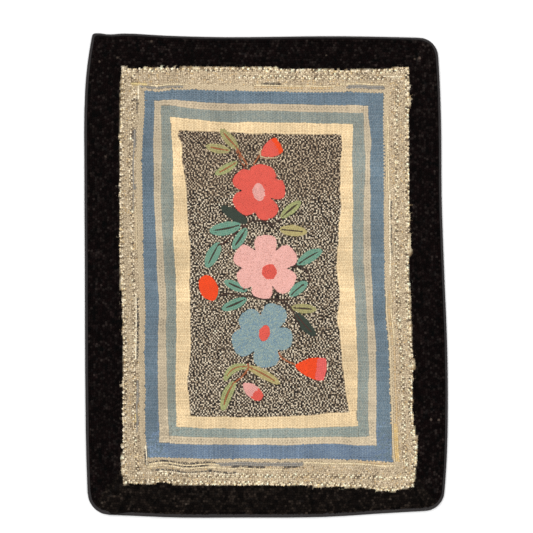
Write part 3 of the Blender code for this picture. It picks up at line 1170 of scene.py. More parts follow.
BODY_SIZES = (0.88, 1.12)
BODY_TURN = 0.5
BODY_JITTER = 0.4
BODY_RISES = (-0.25, 0.15)
BODY_UNEVENNESS = 0.04
# The speckled band is painted darker on its left side, as shade, and lighter on the other sides, as lit.
SHADED_SIDE = -262
SHADED_FADE = 40
LIT_FACTOR = 1.19


def speckled_light(x, colours):
    """The colours with painted shade on the left side, and painted lighter on the others."""
    share = min(max((x - SHADED_SIDE) / SHADED_FADE, 0.0), 1.0)
    return dye_patch(x, 0.0, colours, 1 + (LIT_FACTOR - 1) * share)


def band_ring(line, inset):
    """A closed line round the rug, this far inside a line between two bands."""
    ring = []
    for side, forwards in (("top", True), ("right", False), ("bottom", False), ("left", True)):
        first, last, along = SIDES[side]
        start = getattr(line, first)[along] + inset
        end = getattr(line, last)[along] - inset
        ends = (start, end) if forwards else (end, start)
        for place in np.linspace(*ends, RING_PLACES):
            ring.append(on_side(side, place, side_at(line, side, place) - OUTWARD[side] * inset))
    return ring


def hook_spots(line, cycle, step=SPOT_STEP, gap=SPOT_GAP, rise=SPOT_RISE, closed=False, sway=0.9):
    """A row of spots that take turns, but for a few."""
    for number, (x, y, heading) in enumerate(walk(line, step, closed)):
        spot = cycle[(number + int(rng.random() > 1 - OUT_OF_TURN)) % len(cycle)]
        size = 1 + SPOT_SIZE_SPREAD * rng.standard_normal()
        out = rng.uniform(-sway, sway)
        x += out * math.sin(heading)
        y -= out * math.cos(heading)
        turn = heading + SLANT + SPOT_TURN * rng.standard_normal()
        size = (spot.size[0] * size, spot.size[1] * size)
        colours = speckled_light(x, pick_pair(spot.yarn))
        lay("pile_speckled", x, y, turn, size, colours, gap, rise, SPOT_UNEVENNESS)


rim = band_ring(SPECKLED_EDGE, RIM_INSET)
hook_spots(rim, RIM_CYCLE, RIM_STEP, gap=2.8, rise=0.5, closed=True, sway=1.1)
hook_spots(band_ring(SPECKLED_EDGE, SECOND_INSET), SPOT_CYCLE, closed=True)
for side, depth in SPOT_DEPTHS.items():
    for number, shift in enumerate((-2.0, 2.0)):
        line = line_beside(side, *SPOT_RUNS[side], depth + shift, SPOT_WANDER)
        hook_spots(line[number:], SPOT_CYCLE)
for side, (first, last, along) in SIDES.items():
    low, high = sorted(getattr(BLUE_EDGE, corner)[along] for corner in (first, last))
    for row in range(ROWS_ALONG):
        place = row * FINE_ROW - LONGEST_RUN
        if not low - RIB_PAST_CORNER < place < high + RIB_PAST_CORNER:
            continue
        near = side_at(BLUE_EDGE, side, place)
        for depth in RIB_DEPTHS:
            out = depth + (RIB_STAGGER if row % 2 else -RIB_STAGGER)
            x, y = on_side(side, place, near + OUTWARD[side] * out)
            turn = across_heading(side) + RIB_TURN * rng.standard_normal()
            colours = speckled_light(x, pick_pair(RIB_YARN))
            lay("pile_speckled", x, y, turn, SPECKLED_RIB_SIZE, colours, FINE_GAP)
for row in range(BODY_ROWS):
    ring = band_ring(SPECKLED_EDGE, BODY_START + row * BODY_ROW)
    for x, y, heading in walk(ring, BODY_STEP, closed=True):
        if inside(BLUE_EDGE, x, y, -1.0):
            continue
        size = rng.uniform(*BODY_SIZES)
        turn = heading + math.pi / 2 + BODY_TURN * rng.standard_normal()
        x += BODY_JITTER * rng.standard_normal()
        y += BODY_JITTER * rng.standard_normal()
        size = (BODY_SIZE[0] * size, BODY_SIZE[1] * size)
        colours = speckled_light(x, pick_pair(SPECKLED_YARN))
        rise = rng.uniform(*BODY_RISES)
        lay("pile_speckled", x, y, turn, size, colours, BODY_GAP, rise, BODY_UNEVENNESS)
print("loops in the speckled band", len(piles["pile_speckled"]))

# %% [markdown]
# The field is filled with a twisted yarn of dark and light wool in wandering rows. Along such a yarn
# dark and light take turns, so two loops beside each other are seldom alike, and the whole reads as
# pepper and salt with a maze of short marks. Each loop is therefore drawn against the loops already laid
# beside it, with some disorder. The upper part is browner and softer, the rest bolder.

# %% The field
TOP_PART_BEGINS = 177
TOP_PART_FADE = 30
FIELD_START = (-215.0, 340.0)
FIELD_ROWS = 190
FIELD_PLACES = 125
FIELD_ROW = 3.55
FIELD_STEP = 3.4
FIELD_SIZE = (4.6, 4.0)
FIELD_GAP = 2.2
FIELD_WANDER = 3.0
FIELD_WANDER_SIZE = 30
FIELD_MARGIN = 0.6
FIELD_UNEVENNESS = 0.08
JITTER = 0.25
DISORDER = 0.9

# Which loops beside a new one count, as rows back and places over, and how much.
Neighbour = namedtuple("Neighbour", "back over weight")
NEIGHBOURS = (
    Neighbour(0, 1, 1.0),
    Neighbour(1, 0, 1.0),
    Neighbour(1, 1, 0.35),
    Neighbour(1, -1, 0.35),
    Neighbour(0, 2, 0.2),
    Neighbour(2, 0, 0.2),
)
field_marks = {}


def next_mark(row, number):
    """1 for a light loop or -1 for a dark one, mostly unlike the loops beside it."""
    beside = DISORDER * rng.standard_normal()
    for near in NEIGHBOURS:
        beside += near.weight * field_marks.get((row - near.back, number - near.over), 0)
    field_marks[row, number] = -1 if beside > 0 else 1
    return field_marks[row, number]


def field_colours(y, mark):
    """The two colours of a loop at this height, with a soft change from one part to the other."""
    in_top = rng.random() < min(max((y - TOP_PART_BEGINS) / TOP_PART_FADE + 0.5, 0.0), 1.0)
    if mark > 0:
        return pick_pair(TOP_LIGHT if in_top else FIELD_LIGHT)
    return pick_pair(TOP_DARK if in_top else FIELD_DARK)


def in_motif(x, y):
    """True for a place well inside a flower, a leaf or a bud."""
    if any(in_flower(flower, x, y) for flower in FLOWERS):
        return True
    return any(in_shape(shape, x, y) for shape in (*LEAVES, *BUDS))


for row in range(FIELD_ROWS):
    for number in range(FIELD_PLACES):
        row_x = FIELD_START[0] + number * FIELD_STEP
        row_y = FIELD_START[1] - row * FIELD_ROW
        over, up = (FIELD_WANDER * drift(row_x, row_y, FIELD_WANDER_SIZE, serial) for serial in (8, 5))
        x = row_x + over + JITTER * rng.standard_normal()
        y = row_y + up + JITTER * rng.standard_normal()
        if not inside(FIELD_EDGE, x, y, FIELD_MARGIN) or in_motif(x, y):
            continue
        pile = "pile_field_upper" if y > 0 else "pile_field_lower"
        colours = field_colours(y, next_mark(row, number))
        turn = rng.uniform(0, math.pi)
        lay(pile, x, y, turn, FIELD_SIZE, colours, FIELD_GAP, 0.0, FIELD_UNEVENNESS)
print("loops in the field", len(piles["pile_field_upper"]) + len(piles["pile_field_lower"]))

# %% [markdown]
# The black border is hooked round and round, parallel to the edge of the rug, in thick dark wool with a
# few pale hairs and bits of lint. Its rows follow the outline inwards until they meet the speckled
# band. Close to a corner a moved outline crosses itself, and those steps are left out.

# %% The black border
BORDER_ROW = 5.3
BORDER_STEP = 5.7
BORDER_SIZE = (7.8, 6.6)
BORDER_START = 10.0
BORDER_ROWS = 17
BORDER_PATCHES = 1.1
BORDER_PATCH_SIZE = 12.0
DARKEST_PATCH = 0.2
LIGHTEST_PATCH = 1.9
BORDER_GAP = 4.1
BORDER_SIZE_SPREAD = 0.08
BORDER_JITTER = 0.5
BORDER_TURN = 0.35
BORDER_RISES = (-0.4, 0.1)
BORDER_UNEVENNESS = 0.12
BORDER_OVERLAP = 1.6
CROSSING = 0.8


def outline_inside(inset):
    """The outline moved this far inwards."""
    ahead = np.roll(outline, -2, axis=0) - np.roll(outline, 2, axis=0)
    ahead /= np.hypot(*ahead.T)[:, None]
    inwards = np.stack([ahead[:, 1], -ahead[:, 0]], axis=1)
    if np.sum(inwards * outline) > 0:
        inwards = -inwards
    return outline + inwards * inset


for row in range(BORDER_ROWS):
    inset = BORDER_START + row * BORDER_ROW
    for x, y, heading in walk(outline_inside(inset), BORDER_STEP, closed=True):
        if inset_at(x, y) < inset - CROSSING or inside(SPECKLED_EDGE, x, y, -BORDER_OVERLAP):
            continue
        low_down = -y / abs(cad_high.y / MM) > abs(x) / abs(cad_high.x / MM)
        yarn = BOTTOM_BLACK if low_down else SIDE_BLACK
        size = 1 + BORDER_SIZE_SPREAD * rng.standard_normal()
        x += BORDER_JITTER * rng.standard_normal()
        y += BORDER_JITTER * rng.standard_normal()
        turn = heading + BORDER_TURN * rng.standard_normal()
        size = (BORDER_SIZE[0] * size, BORDER_SIZE[1] * size)
        tone = 1 + BORDER_PATCHES * drift(x, y, BORDER_PATCH_SIZE, serial=17)
        tone = min(max(tone, DARKEST_PATCH), LIGHTEST_PATCH)
        colour = [value * tone for value in pick(yarn)]
        rise = rng.uniform(*BORDER_RISES)
        lay("pile_border", x, y, turn, size, (colour, colour), BORDER_GAP, rise, BORDER_UNEVENNESS)
print("loops in the border", len(piles["pile_border"]))

# %% [markdown]
# One loop is a small closed dome, made once with bmesh: a cone operator gives a base and a shoulder,
# and poking the lid raises the crown. Thousands of copies are then placed by numpy arrays and joined
# into one mesh for each part of the rug, which is far quicker than thousands of objects. Each point
# keeps the colour of its yarn, its height within the loop and its place along the strand, for the
# material to read.

# %% The shape of one loop
SHOULDER = 0.60
BASE_SHARE = 0.84
Bead = namedtuple("Bead", "points corners sizes")


def make_bead(sides):
    """A closed dome from -1 to 1 along and across, and from 0 to 1 in height."""
    bm = bmesh.new()
    bmesh.ops.create_cone(
        bm, cap_ends=True, segments=sides, radius1=BASE_SHARE, radius2=1.0, depth=SHOULDER
    )
    bmesh.ops.translate(bm, verts=bm.verts, vec=(0, 0, SHOULDER / 2))
    lid = max(bm.faces, key=lambda face: face.calc_center_median().z)
    crown = bmesh.ops.poke(bm, faces=[lid])["verts"][0]
    crown.co.z = 1.0
    bmesh.ops.recalc_face_normals(bm, faces=bm.faces)
    bm.verts.index_update()
    points = np.array([tuple(vert.co) for vert in bm.verts])
    corners = np.array([vert.index for face in bm.faces for vert in face.verts])
    sizes = np.array([len(face.verts) for face in bm.faces])
    bm.free()
    return Bead(points, corners, sizes)


fine_bead = make_bead(6)
small_bead = make_bead(5)
print("triangles in a loop", int((fine_bead.sizes - 2).sum()), "and", int((small_bead.sizes - 2).sum()))


# %% [markdown]
# A pile is one mesh: the dome's points are scaled to each loop's size, turned to its heading and set at
# its place, all in one step on arrays. The bake map of a mesh is the rug seen straight from above.

# %% Join the loops of a pile
STRAND_SERIAL_STEP = 0.37


def add_object(name, data):
    """A new object in the scene, at the origin."""
    made = bpy.data.objects.new(name, data)
    bpy.context.scene.collection.objects.link(made)
    return made


def add_attribute(mesh, name, kind, values):
    """Stores one value for each point of a mesh."""
    attribute = mesh.attributes.new(name, kind, "POINT")
    key = {"FLOAT": "value", "FLOAT_VECTOR": "vector", "FLOAT_COLOR": "color"}[kind]
    attribute.data.foreach_set(key, np.asarray(values, dtype=np.float32).ravel())


def add_flat_map(mesh, points):
    """A map of the mesh seen straight from above."""
    corners = np.empty(len(mesh.loops), dtype=np.int32)
    mesh.loops.foreach_get("vertex_index", corners)
    low = np.array(cad_low)[:2]
    size = np.array(cad_high)[:2] - low
    places = np.clip((points[corners, :2] - low) / size, 0.0, 1.0)
    layer = mesh.uv_layers.new(name="OFBake")
    layer.data.foreach_set("uv", places.astype(np.float32).ravel())


def pile_object(name, loops, bead):
    """All loops of one pile as one joined mesh."""
    count = len(loops)
    centres = np.array([(loop.x, loop.y) for loop in loops])
    headings = np.array([loop.heading for loop in loops])
    sizes = np.array([(loop.length, loop.width) for loop in loops]) / 2
    roots = np.array([loop.root for loop in loops])[:, None]
    crowns = np.array([loop.crown for loop in loops])[:, None]
    leans = np.array([loop.lean for loop in loops])
    strand = bead.points[None, :, :2] * sizes[:, None, :]
    lift = np.broadcast_to(bead.points[:, 2], (count, len(bead.points)))
    cosine, sine = np.cos(headings)[:, None], np.sin(headings)[:, None]
    x = centres[:, :1] + strand[..., 0] * cosine - strand[..., 1] * sine + leans[:, :1] * lift
    y = centres[:, 1:] + strand[..., 0] * sine + strand[..., 1] * cosine + leans[:, 1:] * lift
    z = roots + (crowns - roots) * lift
    points = np.stack([x, y, z], axis=2).reshape(-1, 3) * MM

    mesh = bpy.data.meshes.new(name)
    mesh.vertices.add(len(points))
    mesh.vertices.foreach_set("co", points.astype(np.float32).ravel())
    firsts = np.arange(count)[:, None] * len(bead.points)
    corners = (bead.corners[None, :] + firsts).ravel().astype(np.int32)
    mesh.loops.add(len(corners))
    mesh.loops.foreach_set("vertex_index", corners)
    starts = np.concatenate([[0], np.cumsum(np.tile(bead.sizes, count))[:-1]]).astype(np.int32)
    mesh.polygons.add(len(starts))
    mesh.polygons.foreach_set("loop_start", starts)
    mesh.update(calc_edges=True)
    mesh.validate()
    mesh.shade_smooth()

    for half, attribute in enumerate(("yarn_colour", "second_colour")):
        colours = np.array([(*loop.colours[half], 1.0) for loop in loops])
        add_attribute(mesh, attribute, "FLOAT_COLOR", np.repeat(colours, len(bead.points), axis=0))
    add_attribute(mesh, "lift", "FLOAT", lift)
    serials = np.broadcast_to(np.arange(count)[:, None] * STRAND_SERIAL_STEP, strand.shape[:2])
    add_attribute(mesh, "strand", "FLOAT_VECTOR", np.dstack([strand, serials]))
    add_flat_map(mesh, points)
    return add_object(name, mesh)


SIX_SIDED = ("pile_flowers", "pile_cream_and_teal", "pile_blue_and_beige")
pile_objects = []
for name, loops in piles.items():
    bead = fine_bead if name in SIX_SIDED else small_bead
    pile_objects.append(pile_object(name, loops, bead))
    print(name, len(loops), "loops,", len(loops) * int((bead.sizes - 2).sum()), "triangles")

# %% [markdown]
# The ground cloth is one thin slab that reaches under the tape. A grid operator gives its even cells,
# the cells outside the outline go, and the points left on the rim move onto the outline. The top then
# gets its thickness by extrusion. The back steps up where the tape is folded under it. On both sides
# each point takes the colour of the nearest loop, darkened. On the face the darkening is deeper and is
# painted shade: the sides of the loops in shadow down between them. The back, where the design shows in
# reverse, is darkened a little less.

# %% The ground cloth
CLOTH_CELL = 7.2
CLOTH_EDGE = 1.5
BACK_STEP = 1.5
STEP_INSET = TAPE_BACK_REACH + 0.4 + CLOTH_CELL

all_loops = [loop for loops in piles.values() for loop in loops]
loop_tree = flat_tree([(loop.x, loop.y) for loop in all_loops])
loop_colours = [[sum(pair) / 2 for pair in zip(*loop.colours)] for loop in all_loops]
rim_line = dense_outline + (dense_back_line - dense_outline) * CLOTH_EDGE / TAPE_BACK_REACH
rim_tree = flat_tree(rim_line)


def rim_direction(index):
    """The heading of the rim at one of its points."""
    ahead = rim_line[(index + 2) % len(rim_line)] - rim_line[index - 2]
    return ahead / np.hypot(*ahead)


rim_turns_left = np.cross(rim_direction(0), -rim_line[0]) > 0


def beyond_rim(x, y):
    """True for a place outside the cloth's rim."""
    near, index, _ = rim_tree.find((x, y, 0.0))
    ahead = rim_direction(index)
    side = ahead[0] * (y - near.y) - ahead[1] * (x - near.x)
    return (side < 0) == bool(rim_turns_left)


def build_ground_cloth():
    """The slab, its face, rim and back."""
    size = (cad_high.x - cad_low.x) / MM, (cad_high.y - cad_low.y) / MM
    bm = bmesh.new()
    cells = [math.ceil(value / CLOTH_CELL) for value in size]
    bmesh.ops.create_grid(bm, x_segments=cells[0], y_segments=cells[1], size=0.5)
    bmesh.ops.scale(bm, verts=bm.verts, vec=(cells[0] * CLOTH_CELL, cells[1] * CLOTH_CELL, 1.0))
    outside = [face for face in bm.faces if beyond_rim(*face.calc_center_median()[:2])]
    bmesh.ops.delete(bm, geom=outside, context="FACES")
    for vert in bm.verts:
        if vert.is_boundary:
            vert.co = rim_tree.find((vert.co.x, vert.co.y, 0.0))[0]
    for vert in bm.verts:
        vert.co.z = ground_level(vert.co.x, vert.co.y)
    face = list(bm.faces)
    made = bmesh.ops.extrude_face_region(bm, geom=face, use_keep_orig=True)["geom"]
    back = [part for part in made if isinstance(part, bmesh.types.BMVert)]
    for vert in back:
        vert.co.z = BACK_STEP if inset_at(vert.co.x, vert.co.y) < STEP_INSET else 0.0
    bmesh.ops.recalc_face_normals(bm, faces=bm.faces)
    bmesh.ops.scale(bm, verts=bm.verts, vec=(MM, MM, MM))
    mesh = bpy.data.meshes.new("ground_cloth")
    bm.to_mesh(mesh)
    bm.free()
    return mesh


cloth_mesh = build_ground_cloth()
cloth_points = np.empty(len(cloth_mesh.vertices) * 3, dtype=np.float32)
cloth_mesh.vertices.foreach_get("co", cloth_points)
cloth_points = cloth_points.reshape(-1, 3)
LOWEST_FACE = 2.5
# On the face, the nearest loop's colour is darkened as painted shade of the wool between the loops.
FACE_SHADE = 0.75
BACK_SHADE = 0.80
cloth_colours = []
for x, y, z in cloth_points / MM:
    nearest = loop_colours[loop_tree.find((x, y, 0.0))[1]]
    shade = FACE_SHADE if z > LOWEST_FACE else BACK_SHADE
    cloth_colours.append([value * shade for value in nearest] + [1.0])
add_attribute(cloth_mesh, "yarn_colour", "FLOAT_COLOR", cloth_colours)
ground_cloth = add_object("ground_cloth", cloth_mesh)
print("ground cloth", len(cloth_mesh.polygons), "faces")

# %% [markdown]
# The tape is folded round the edge of the rug: a narrow strip shows on the face, and a wide one lies on
# the back. Its section is carried round the outline ring by ring, each ring extruded from the last, and
# the last ring is bridged to the first. The strip on the face isn't equally wide on all sides, and the
# fold puckers a little.

# %% The tape
SectionPoint = namedtuple("SectionPoint", "inset height")
TAPE_SECTION = (
    SectionPoint(30.0, 0.0),
    SectionPoint(15.0, 0.0),
    SectionPoint(1.0, 0.0),
    SectionPoint(0.3, 0.35),
    SectionPoint(0.0, 1.1),
    SectionPoint(0.0, 2.7),
    SectionPoint(0.05, 4.2),
    SectionPoint(0.4, 4.95),
    SectionPoint(1.1, 5.3),
)
INNER_SECTION = (
    SectionPoint(1.3, 4.15),
    SectionPoint(1.2, 1.2),
    SectionPoint(30.0, 1.2),
)
# The strip on the face, by the share of its reach.
LipPoint = namedtuple("LipPoint", "share height")
LIP_SECTION = (
    LipPoint(0.5, 5.35),
    LipPoint(0.93, 5.25),
    LipPoint(1.0, 5.0),
    LipPoint(1.0, 4.15),
)
FACE_REACHES = {"left": 6.4, "right": 5.4, "top": 4.4, "bottom": 8.4}
REACH_UNEVENNESS = 0.5
REACH_PATCH = 30
PUCKER = 0.25
PUCKER_SIZE = 11.0
PUCKER_HEIGHT = 5.0


def face_reach(index):
    """How far the tape reaches onto the face at one step of the outline."""
    ahead = outline[(index + 2) % len(outline)] - outline[index - 2]
    run_x, run_y = ahead / np.hypot(*ahead)
    x, y = outline[index]
    flat = FACE_REACHES["top" if y > 0 else "bottom"]
    upright = FACE_REACHES["right" if x > 0 else "left"]
    unevenness = REACH_UNEVENNESS * drift(x, y, REACH_PATCH, serial=12)
    return flat * run_x**2 + upright * run_y**2 + unevenness


def tape_place(index, inset, height):
    """One point of the tape, with its puckers."""
    x, y = outline[index] + (back_line[index] - outline[index]) * inset / TAPE_BACK_REACH
    lift = PUCKER * drift(x, y, PUCKER_SIZE, serial=14) * min(height / PUCKER_HEIGHT, 1.0)
    return Vector((x * MM, y * MM, (height + lift) * MM))


def build_tape():
    """The ring of tape, from the back round the edge to the face and back again."""
    count = len(outline)
    reaches = [face_reach(index) for index in range(count)]
    sections = [(point.inset, point.height, False) for point in TAPE_SECTION]
    sections += [(point.share, point.height, True) for point in LIP_SECTION]
    sections += [(point.inset, point.height, False) for point in INNER_SECTION]
    bm = bmesh.new()
    first = bmesh.ops.create_circle(bm, segments=count, radius=1.0)["verts"]
    ring = list(bm.edges)
    rings = [list(first)]
    for _ in sections[1:]:
        made = bmesh.ops.extrude_edge_only(bm, edges=ring)["geom"]
        verts = [part for part in made if isinstance(part, bmesh.types.BMVert)]
        ring = [part for part in made if isinstance(part, bmesh.types.BMEdge) and part.is_boundary]
        order = {}
        for vert in verts:
            others = (edge.other_vert(vert) for edge in vert.link_edges)
            order[next(other for other in others if other in rings[-1])] = vert
        rings.append([order[vert] for vert in rings[-1]])
    for verts, (inset, height, by_reach) in zip(rings, sections):
        for index, vert in enumerate(verts):
            reached = inset * reaches[index] if by_reach else inset
            vert.co = tape_place(index, reached, height)
    closing = [edge for edge in bm.edges if edge.is_boundary]
    bmesh.ops.bridge_loops(bm, edges=closing)
    bmesh.ops.recalc_face_normals(bm, faces=bm.faces)
    mesh = bpy.data.meshes.new("binding_tape")
    bm.to_mesh(mesh)
    bm.free()
    mesh.shade_smooth()
    return add_object("binding_tape", mesh)


binding_tape = build_tape()
print("binding tape", len(binding_tape.data.polygons), "faces")

# %% [markdown]
# On the back, small slanting stitches fell the inner edge of the tape down to the ground cloth. They
# use the same dome as the loops, made long and thin and laid almost flat.

# %% The stitches on the back
STITCH_STEP = 7.0
STITCH_SIZE = (4.2, 0.8)
STITCH_SLANT = 0.6
STITCH_INSET = 29.6
STITCH_TURN = 0.12
STITCH_ROOT = 0.8
STITCH_CROWN = -0.1
STITCH_COLOUR = dye(40, 36, 34)


def build_stitches():
    """A ring of stitches over the inner edge of the tape."""
    line = outline + (back_line - outline) * STITCH_INSET / TAPE_BACK_REACH
    loops = []
    for x, y, heading in walk(line, STITCH_STEP, closed=True):
        turn = heading + STITCH_SLANT + STITCH_TURN * rng.standard_normal()
        colours = (STITCH_COLOUR, STITCH_COLOUR)
        loops.append(Loop(x, y, turn, *STITCH_SIZE, STITCH_ROOT, STITCH_CROWN, colours, (0, 0)))
    return loops


stitch_loops = build_stitches()
stitches = pile_object("binding_stitches", stitch_loops, small_bead)
stitches.data.flip_normals()
print("stitches", len(stitch_loops))

# %% [markdown]
# Shader maths reads best as plain arithmetic. The small class below wraps one socket, so that an
# expression such as 0.8 + 0.2 * grain adds the Math nodes it needs. Every other node comes from one
# method, which takes the kind of node, its settings and the values of its sockets.

# %% A small kit for materials
class Wire:
    """One output socket, usable in arithmetic."""

    def __init__(self, finish, socket):
        self.finish = finish
        self.socket = socket

    def combine(self, operation, first, second):
        """A Math node on two values."""
        return self.finish.wire("ShaderNodeMath", {"operation": operation}, {0: first, 1: second})

    def clamped(self):
        """The value held between 0 and 1."""
        values = {"Value": self, "Min": 0.0, "Max": 1.0}
        return self.finish.wire("ShaderNodeClamp", None, values)

    def sine(self):
        """The sine of the value, an even band from -1 to 1."""
        return self.combine("SINE", self, 0.0)

    def parts(self):
        """The three parts of a vector."""
        made = self.finish.node("ShaderNodeSeparateXYZ", None, {"Vector": self})
        return [Wire(self.finish, socket) for socket in made.outputs]

    def __add__(self, other):
        return self.combine("ADD", self, other)

    def __radd__(self, other):
        return self.combine("ADD", other, self)

    def __sub__(self, other):
        return self.combine("SUBTRACT", self, other)

    def __rsub__(self, other):
        return self.combine("SUBTRACT", other, self)

    def __mul__(self, other):
        return self.combine("MULTIPLY", self, other)

    def __rmul__(self, other):
        return self.combine("MULTIPLY", other, self)


class Finish:
    """A new material, whose nodes are added by one method."""

    def __init__(self, name):
        self.material = bpy.data.materials.new(name)
        self.material.use_nodes = True
        self.tree = self.material.node_tree
        self.tree.nodes.clear()

    def node(self, kind, settings=None, values=None):
        """Adds a node: first its settings, then the values or links of its sockets."""
        made = self.tree.nodes.new(kind)
        for name, value in (settings or {}).items():
            setattr(made, name, value)
        for name, value in (values or {}).items():
            if isinstance(value, Wire):
                self.tree.links.new(value.socket, made.inputs[name])
            else:
                made.inputs[name].default_value = value
        return made

    def wire(self, kind, settings=None, values=None, output=0):
        """Adds a node and gives one of its outputs."""
        return Wire(self, self.node(kind, settings, values).outputs[output])

    def attribute(self, name, output):
        """An attribute of the mesh."""
        settings = {"attribute_type": "GEOMETRY", "attribute_name": name}
        return self.wire("ShaderNodeAttribute", settings, None, output)

    def place(self):
        """The place on the object, in metres."""
        return self.wire("ShaderNodeTexCoord", None, None, "Object")

    def mixed(self, factor, first, second):
        """One colour at 0 and another at 1."""
        values = {"Factor": factor, "A": first, "B": second}
        return self.wire("ShaderNodeMix", {"data_type": "RGBA"}, values, "Result")

    def bump(self, strength, distance, height):
        """A normal that follows this height."""
        values = {"Strength": strength, "Distance": distance, "Height": height}
        return self.wire("ShaderNodeBump", None, values)

    def scaled(self, colour, factor):
        """A colour made lighter or darker."""
        return self.wire("ShaderNodeVectorMath", {"operation": "SCALE"}, {0: colour, "Scale": factor})

    def grain(self, vector, scale, detail):
        """Noise from 0 to 1."""
        return self.wire("ShaderNodeTexNoise", None, {"Vector": vector, "Scale": scale, "Detail": detail})

    def surface(self, values):
        """The shader and the output."""
        shader = self.wire("ShaderNodeBsdfPrincipled", None, values)
        self.node("ShaderNodeOutputMaterial", None, {"Surface": shader})
        return self.material


# %% [markdown]
# Wool is matt with a soft sheen. Its colour comes from the loop it belongs to, streaked along the
# strand by fine fibres, and it is painted darker towards the root: painted shade, where little light
# reaches down between the loops. The bump follows the same fibres. Sheen and specular level are the
# same everywhere, so they are set on the shader itself.

# %% The wool
FIBRES = (0.30, 1.6, 1.0)
FIBRE_SCALE = 0.9
CLOUD_SCALE = 28.0
FUZZ_SCALE = 2400.0
HALF_CHANGE = 1.4
HALF_FRAY = 0.8


def wool_finish(name, root_shade, fibre_contrast, sheen, specular, cloudiness):
    """The finish of the loops."""
    wool = Finish(name)
    strand = wool.attribute("strand", "Vector")
    along = wool.wire("ShaderNodeMapping", None, {"Vector": strand, "Scale": FIBRES})
    fibres = wool.grain(along, FIBRE_SCALE, 3.0)
    cloud = wool.grain(wool.place(), CLOUD_SCALE, 2.0)
    fuzz = wool.grain(wool.place(), FUZZ_SCALE, 2.0)
    lift = wool.attribute("lift", "Fac")
    # Painted shade: each loop is darker towards its root, where little light reaches between the loops.
    shade = (root_shade + (1 - root_shade) * lift) * (1 - fibre_contrast / 2 + fibre_contrast * fibres)
    shade = shade * (1 - cloudiness / 2 + cloudiness * cloud)
    half = (strand.parts()[0] * HALF_CHANGE + 0.5 + HALF_FRAY * (fibres - 0.5)).clamped()
    both = wool.mixed(
        half, wool.attribute("yarn_colour", "Color"), wool.attribute("second_colour", "Color")
    )
    return wool.surface(
        {
            "Base Color": wool.scaled(both, shade),
            "Roughness": 0.82 + 0.16 * fuzz,
            "Specular IOR Level": specular,
            "Sheen Weight": sheen,
            "Sheen Roughness": 0.6,
            "Normal": wool.bump(0.5, 0.0004, fibres + 0.5 * fuzz),
        }
    )


# The first number is how light each root stays under its painted shade; the field's roots are darkest,
# which gives each light loop a dark edge.
loop_wool = wool_finish("looped_wool", 0.80, 0.22, 0.10, 0.2, 0.12)
field_wool = wool_finish("field_wool", 0.45, 0.45, 0.10, 0.2, 0.12)
border_wool = wool_finish("border_wool", 0.60, 0.50, 0.0, 0.05, 1.2)
OTHER_WOOL = {
    "pile_border": border_wool,
    "pile_field_upper": field_wool,
    "pile_field_lower": field_wool,
}
for made in pile_objects:
    made.data.materials.append(OTHER_WOOL.get(made.name, loop_wool))
print("wool on", len(pile_objects), "piles")

# %% [markdown]
# The ground cloth is a plain weave of coarse threads. Two sine bands at right angles stand for the
# threads, and their product marks where they cross. The back shows the design in reverse, in the colours
# of the loops above it.

# %% The woven ground cloth
THREAD_SCALE = 2400.0
SOIL_SCALE = 60.0


def weave_finish(name):
    """A plain weave over the colours of the design."""
    weave = Finish(name)
    x, y, _ = weave.place().parts()
    threads = 0.5 + 0.5 * ((x * THREAD_SCALE).sine() * (y * THREAD_SCALE).sine())
    soil = weave.grain(weave.place(), SOIL_SCALE, 3.0)
    shade = (0.78 + 0.34 * threads) * (0.85 + 0.3 * soil)
    return weave.surface(
        {
            "Base Color": weave.scaled(weave.attribute("yarn_colour", "Color"), shade),
            "Roughness": 0.86 + 0.12 * soil,
            "Specular IOR Level": 0.15,
            "Normal": weave.bump(0.6, 0.0006, threads),
        }
    )


cloth_mesh.materials.append(weave_finish("woven_ground"))

# %% [markdown]
# The binding is a dark cotton tape with a twill weave, whose fine ribs run on the slant. Along the top
# of its fold it is painted a lighter grey in patches, as a painted highlight on the rolled edge.

# %% The cotton tape
TWILL_SCALE = 3600.0
WEAR_AND_HIGHLIGHT_SCALE = 160.0
# The tape is painted lighter grey above this height, as a painted highlight on the top of its fold.
HIGHLIGHT_START = 0.0040
HIGHLIGHT_FADE = 0.0014
DARK_COTTON = (0.010, 0.008, 0.008, 1)
PAINTED_HIGHLIGHT_COTTON = (0.034, 0.029, 0.029, 1)


def tape_finish(name):
    """Dark twill, with a painted highlight in patches along the top of its fold."""
    tape = Finish(name)
    x, y, height = tape.place().parts()
    ribs = 0.5 + 0.5 * ((x + y) * TWILL_SCALE).sine()
    wear_and_highlight = tape.grain(tape.place(), WEAR_AND_HIGHLIGHT_SCALE, 3.0)
    # Painted highlight: lighter grey along the top of the fold, broken into patches by the noise that also
    # roughens the cotton.
    painted_highlight = ((height - HIGHLIGHT_START) * (1 / HIGHLIGHT_FADE)).clamped()
    return tape.surface(
        {
            "Base Color": tape.mixed(painted_highlight * wear_and_highlight, DARK_COTTON, PAINTED_HIGHLIGHT_COTTON),
            "Roughness": 0.72 + 0.2 * wear_and_highlight,
            "Specular IOR Level": 0.3,
            "Sheen Weight": 0.08,
            "Normal": tape.bump(0.5, 0.0003, ribs + 0.3 * wear_and_highlight),
        }
    )


binding_tape.data.materials.append(tape_finish("tape_cotton"))
stitches.data.materials.append(wool_finish("stitch_thread", 0.9, 0.3, 0.05, 0.2, 0.1))

# %% [markdown]
# Every piece rides on the one body, and the solid that it dresses is hidden.

for piece in (*pile_objects, ground_cloth, binding_tape, stitches):
    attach(piece, "root")
for piece in (*pile_objects, ground_cloth):
    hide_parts("hooked_field")
for piece in (binding_tape, stitches):
    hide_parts("edge_binding")

# %% [markdown]
# The rug lies on a plain pale floor under large, soft lamps. The lamps are wide and far away, so that the
# light is even from edge to edge, and the one at the top left is stronger, which shows the relief of the
# loops.

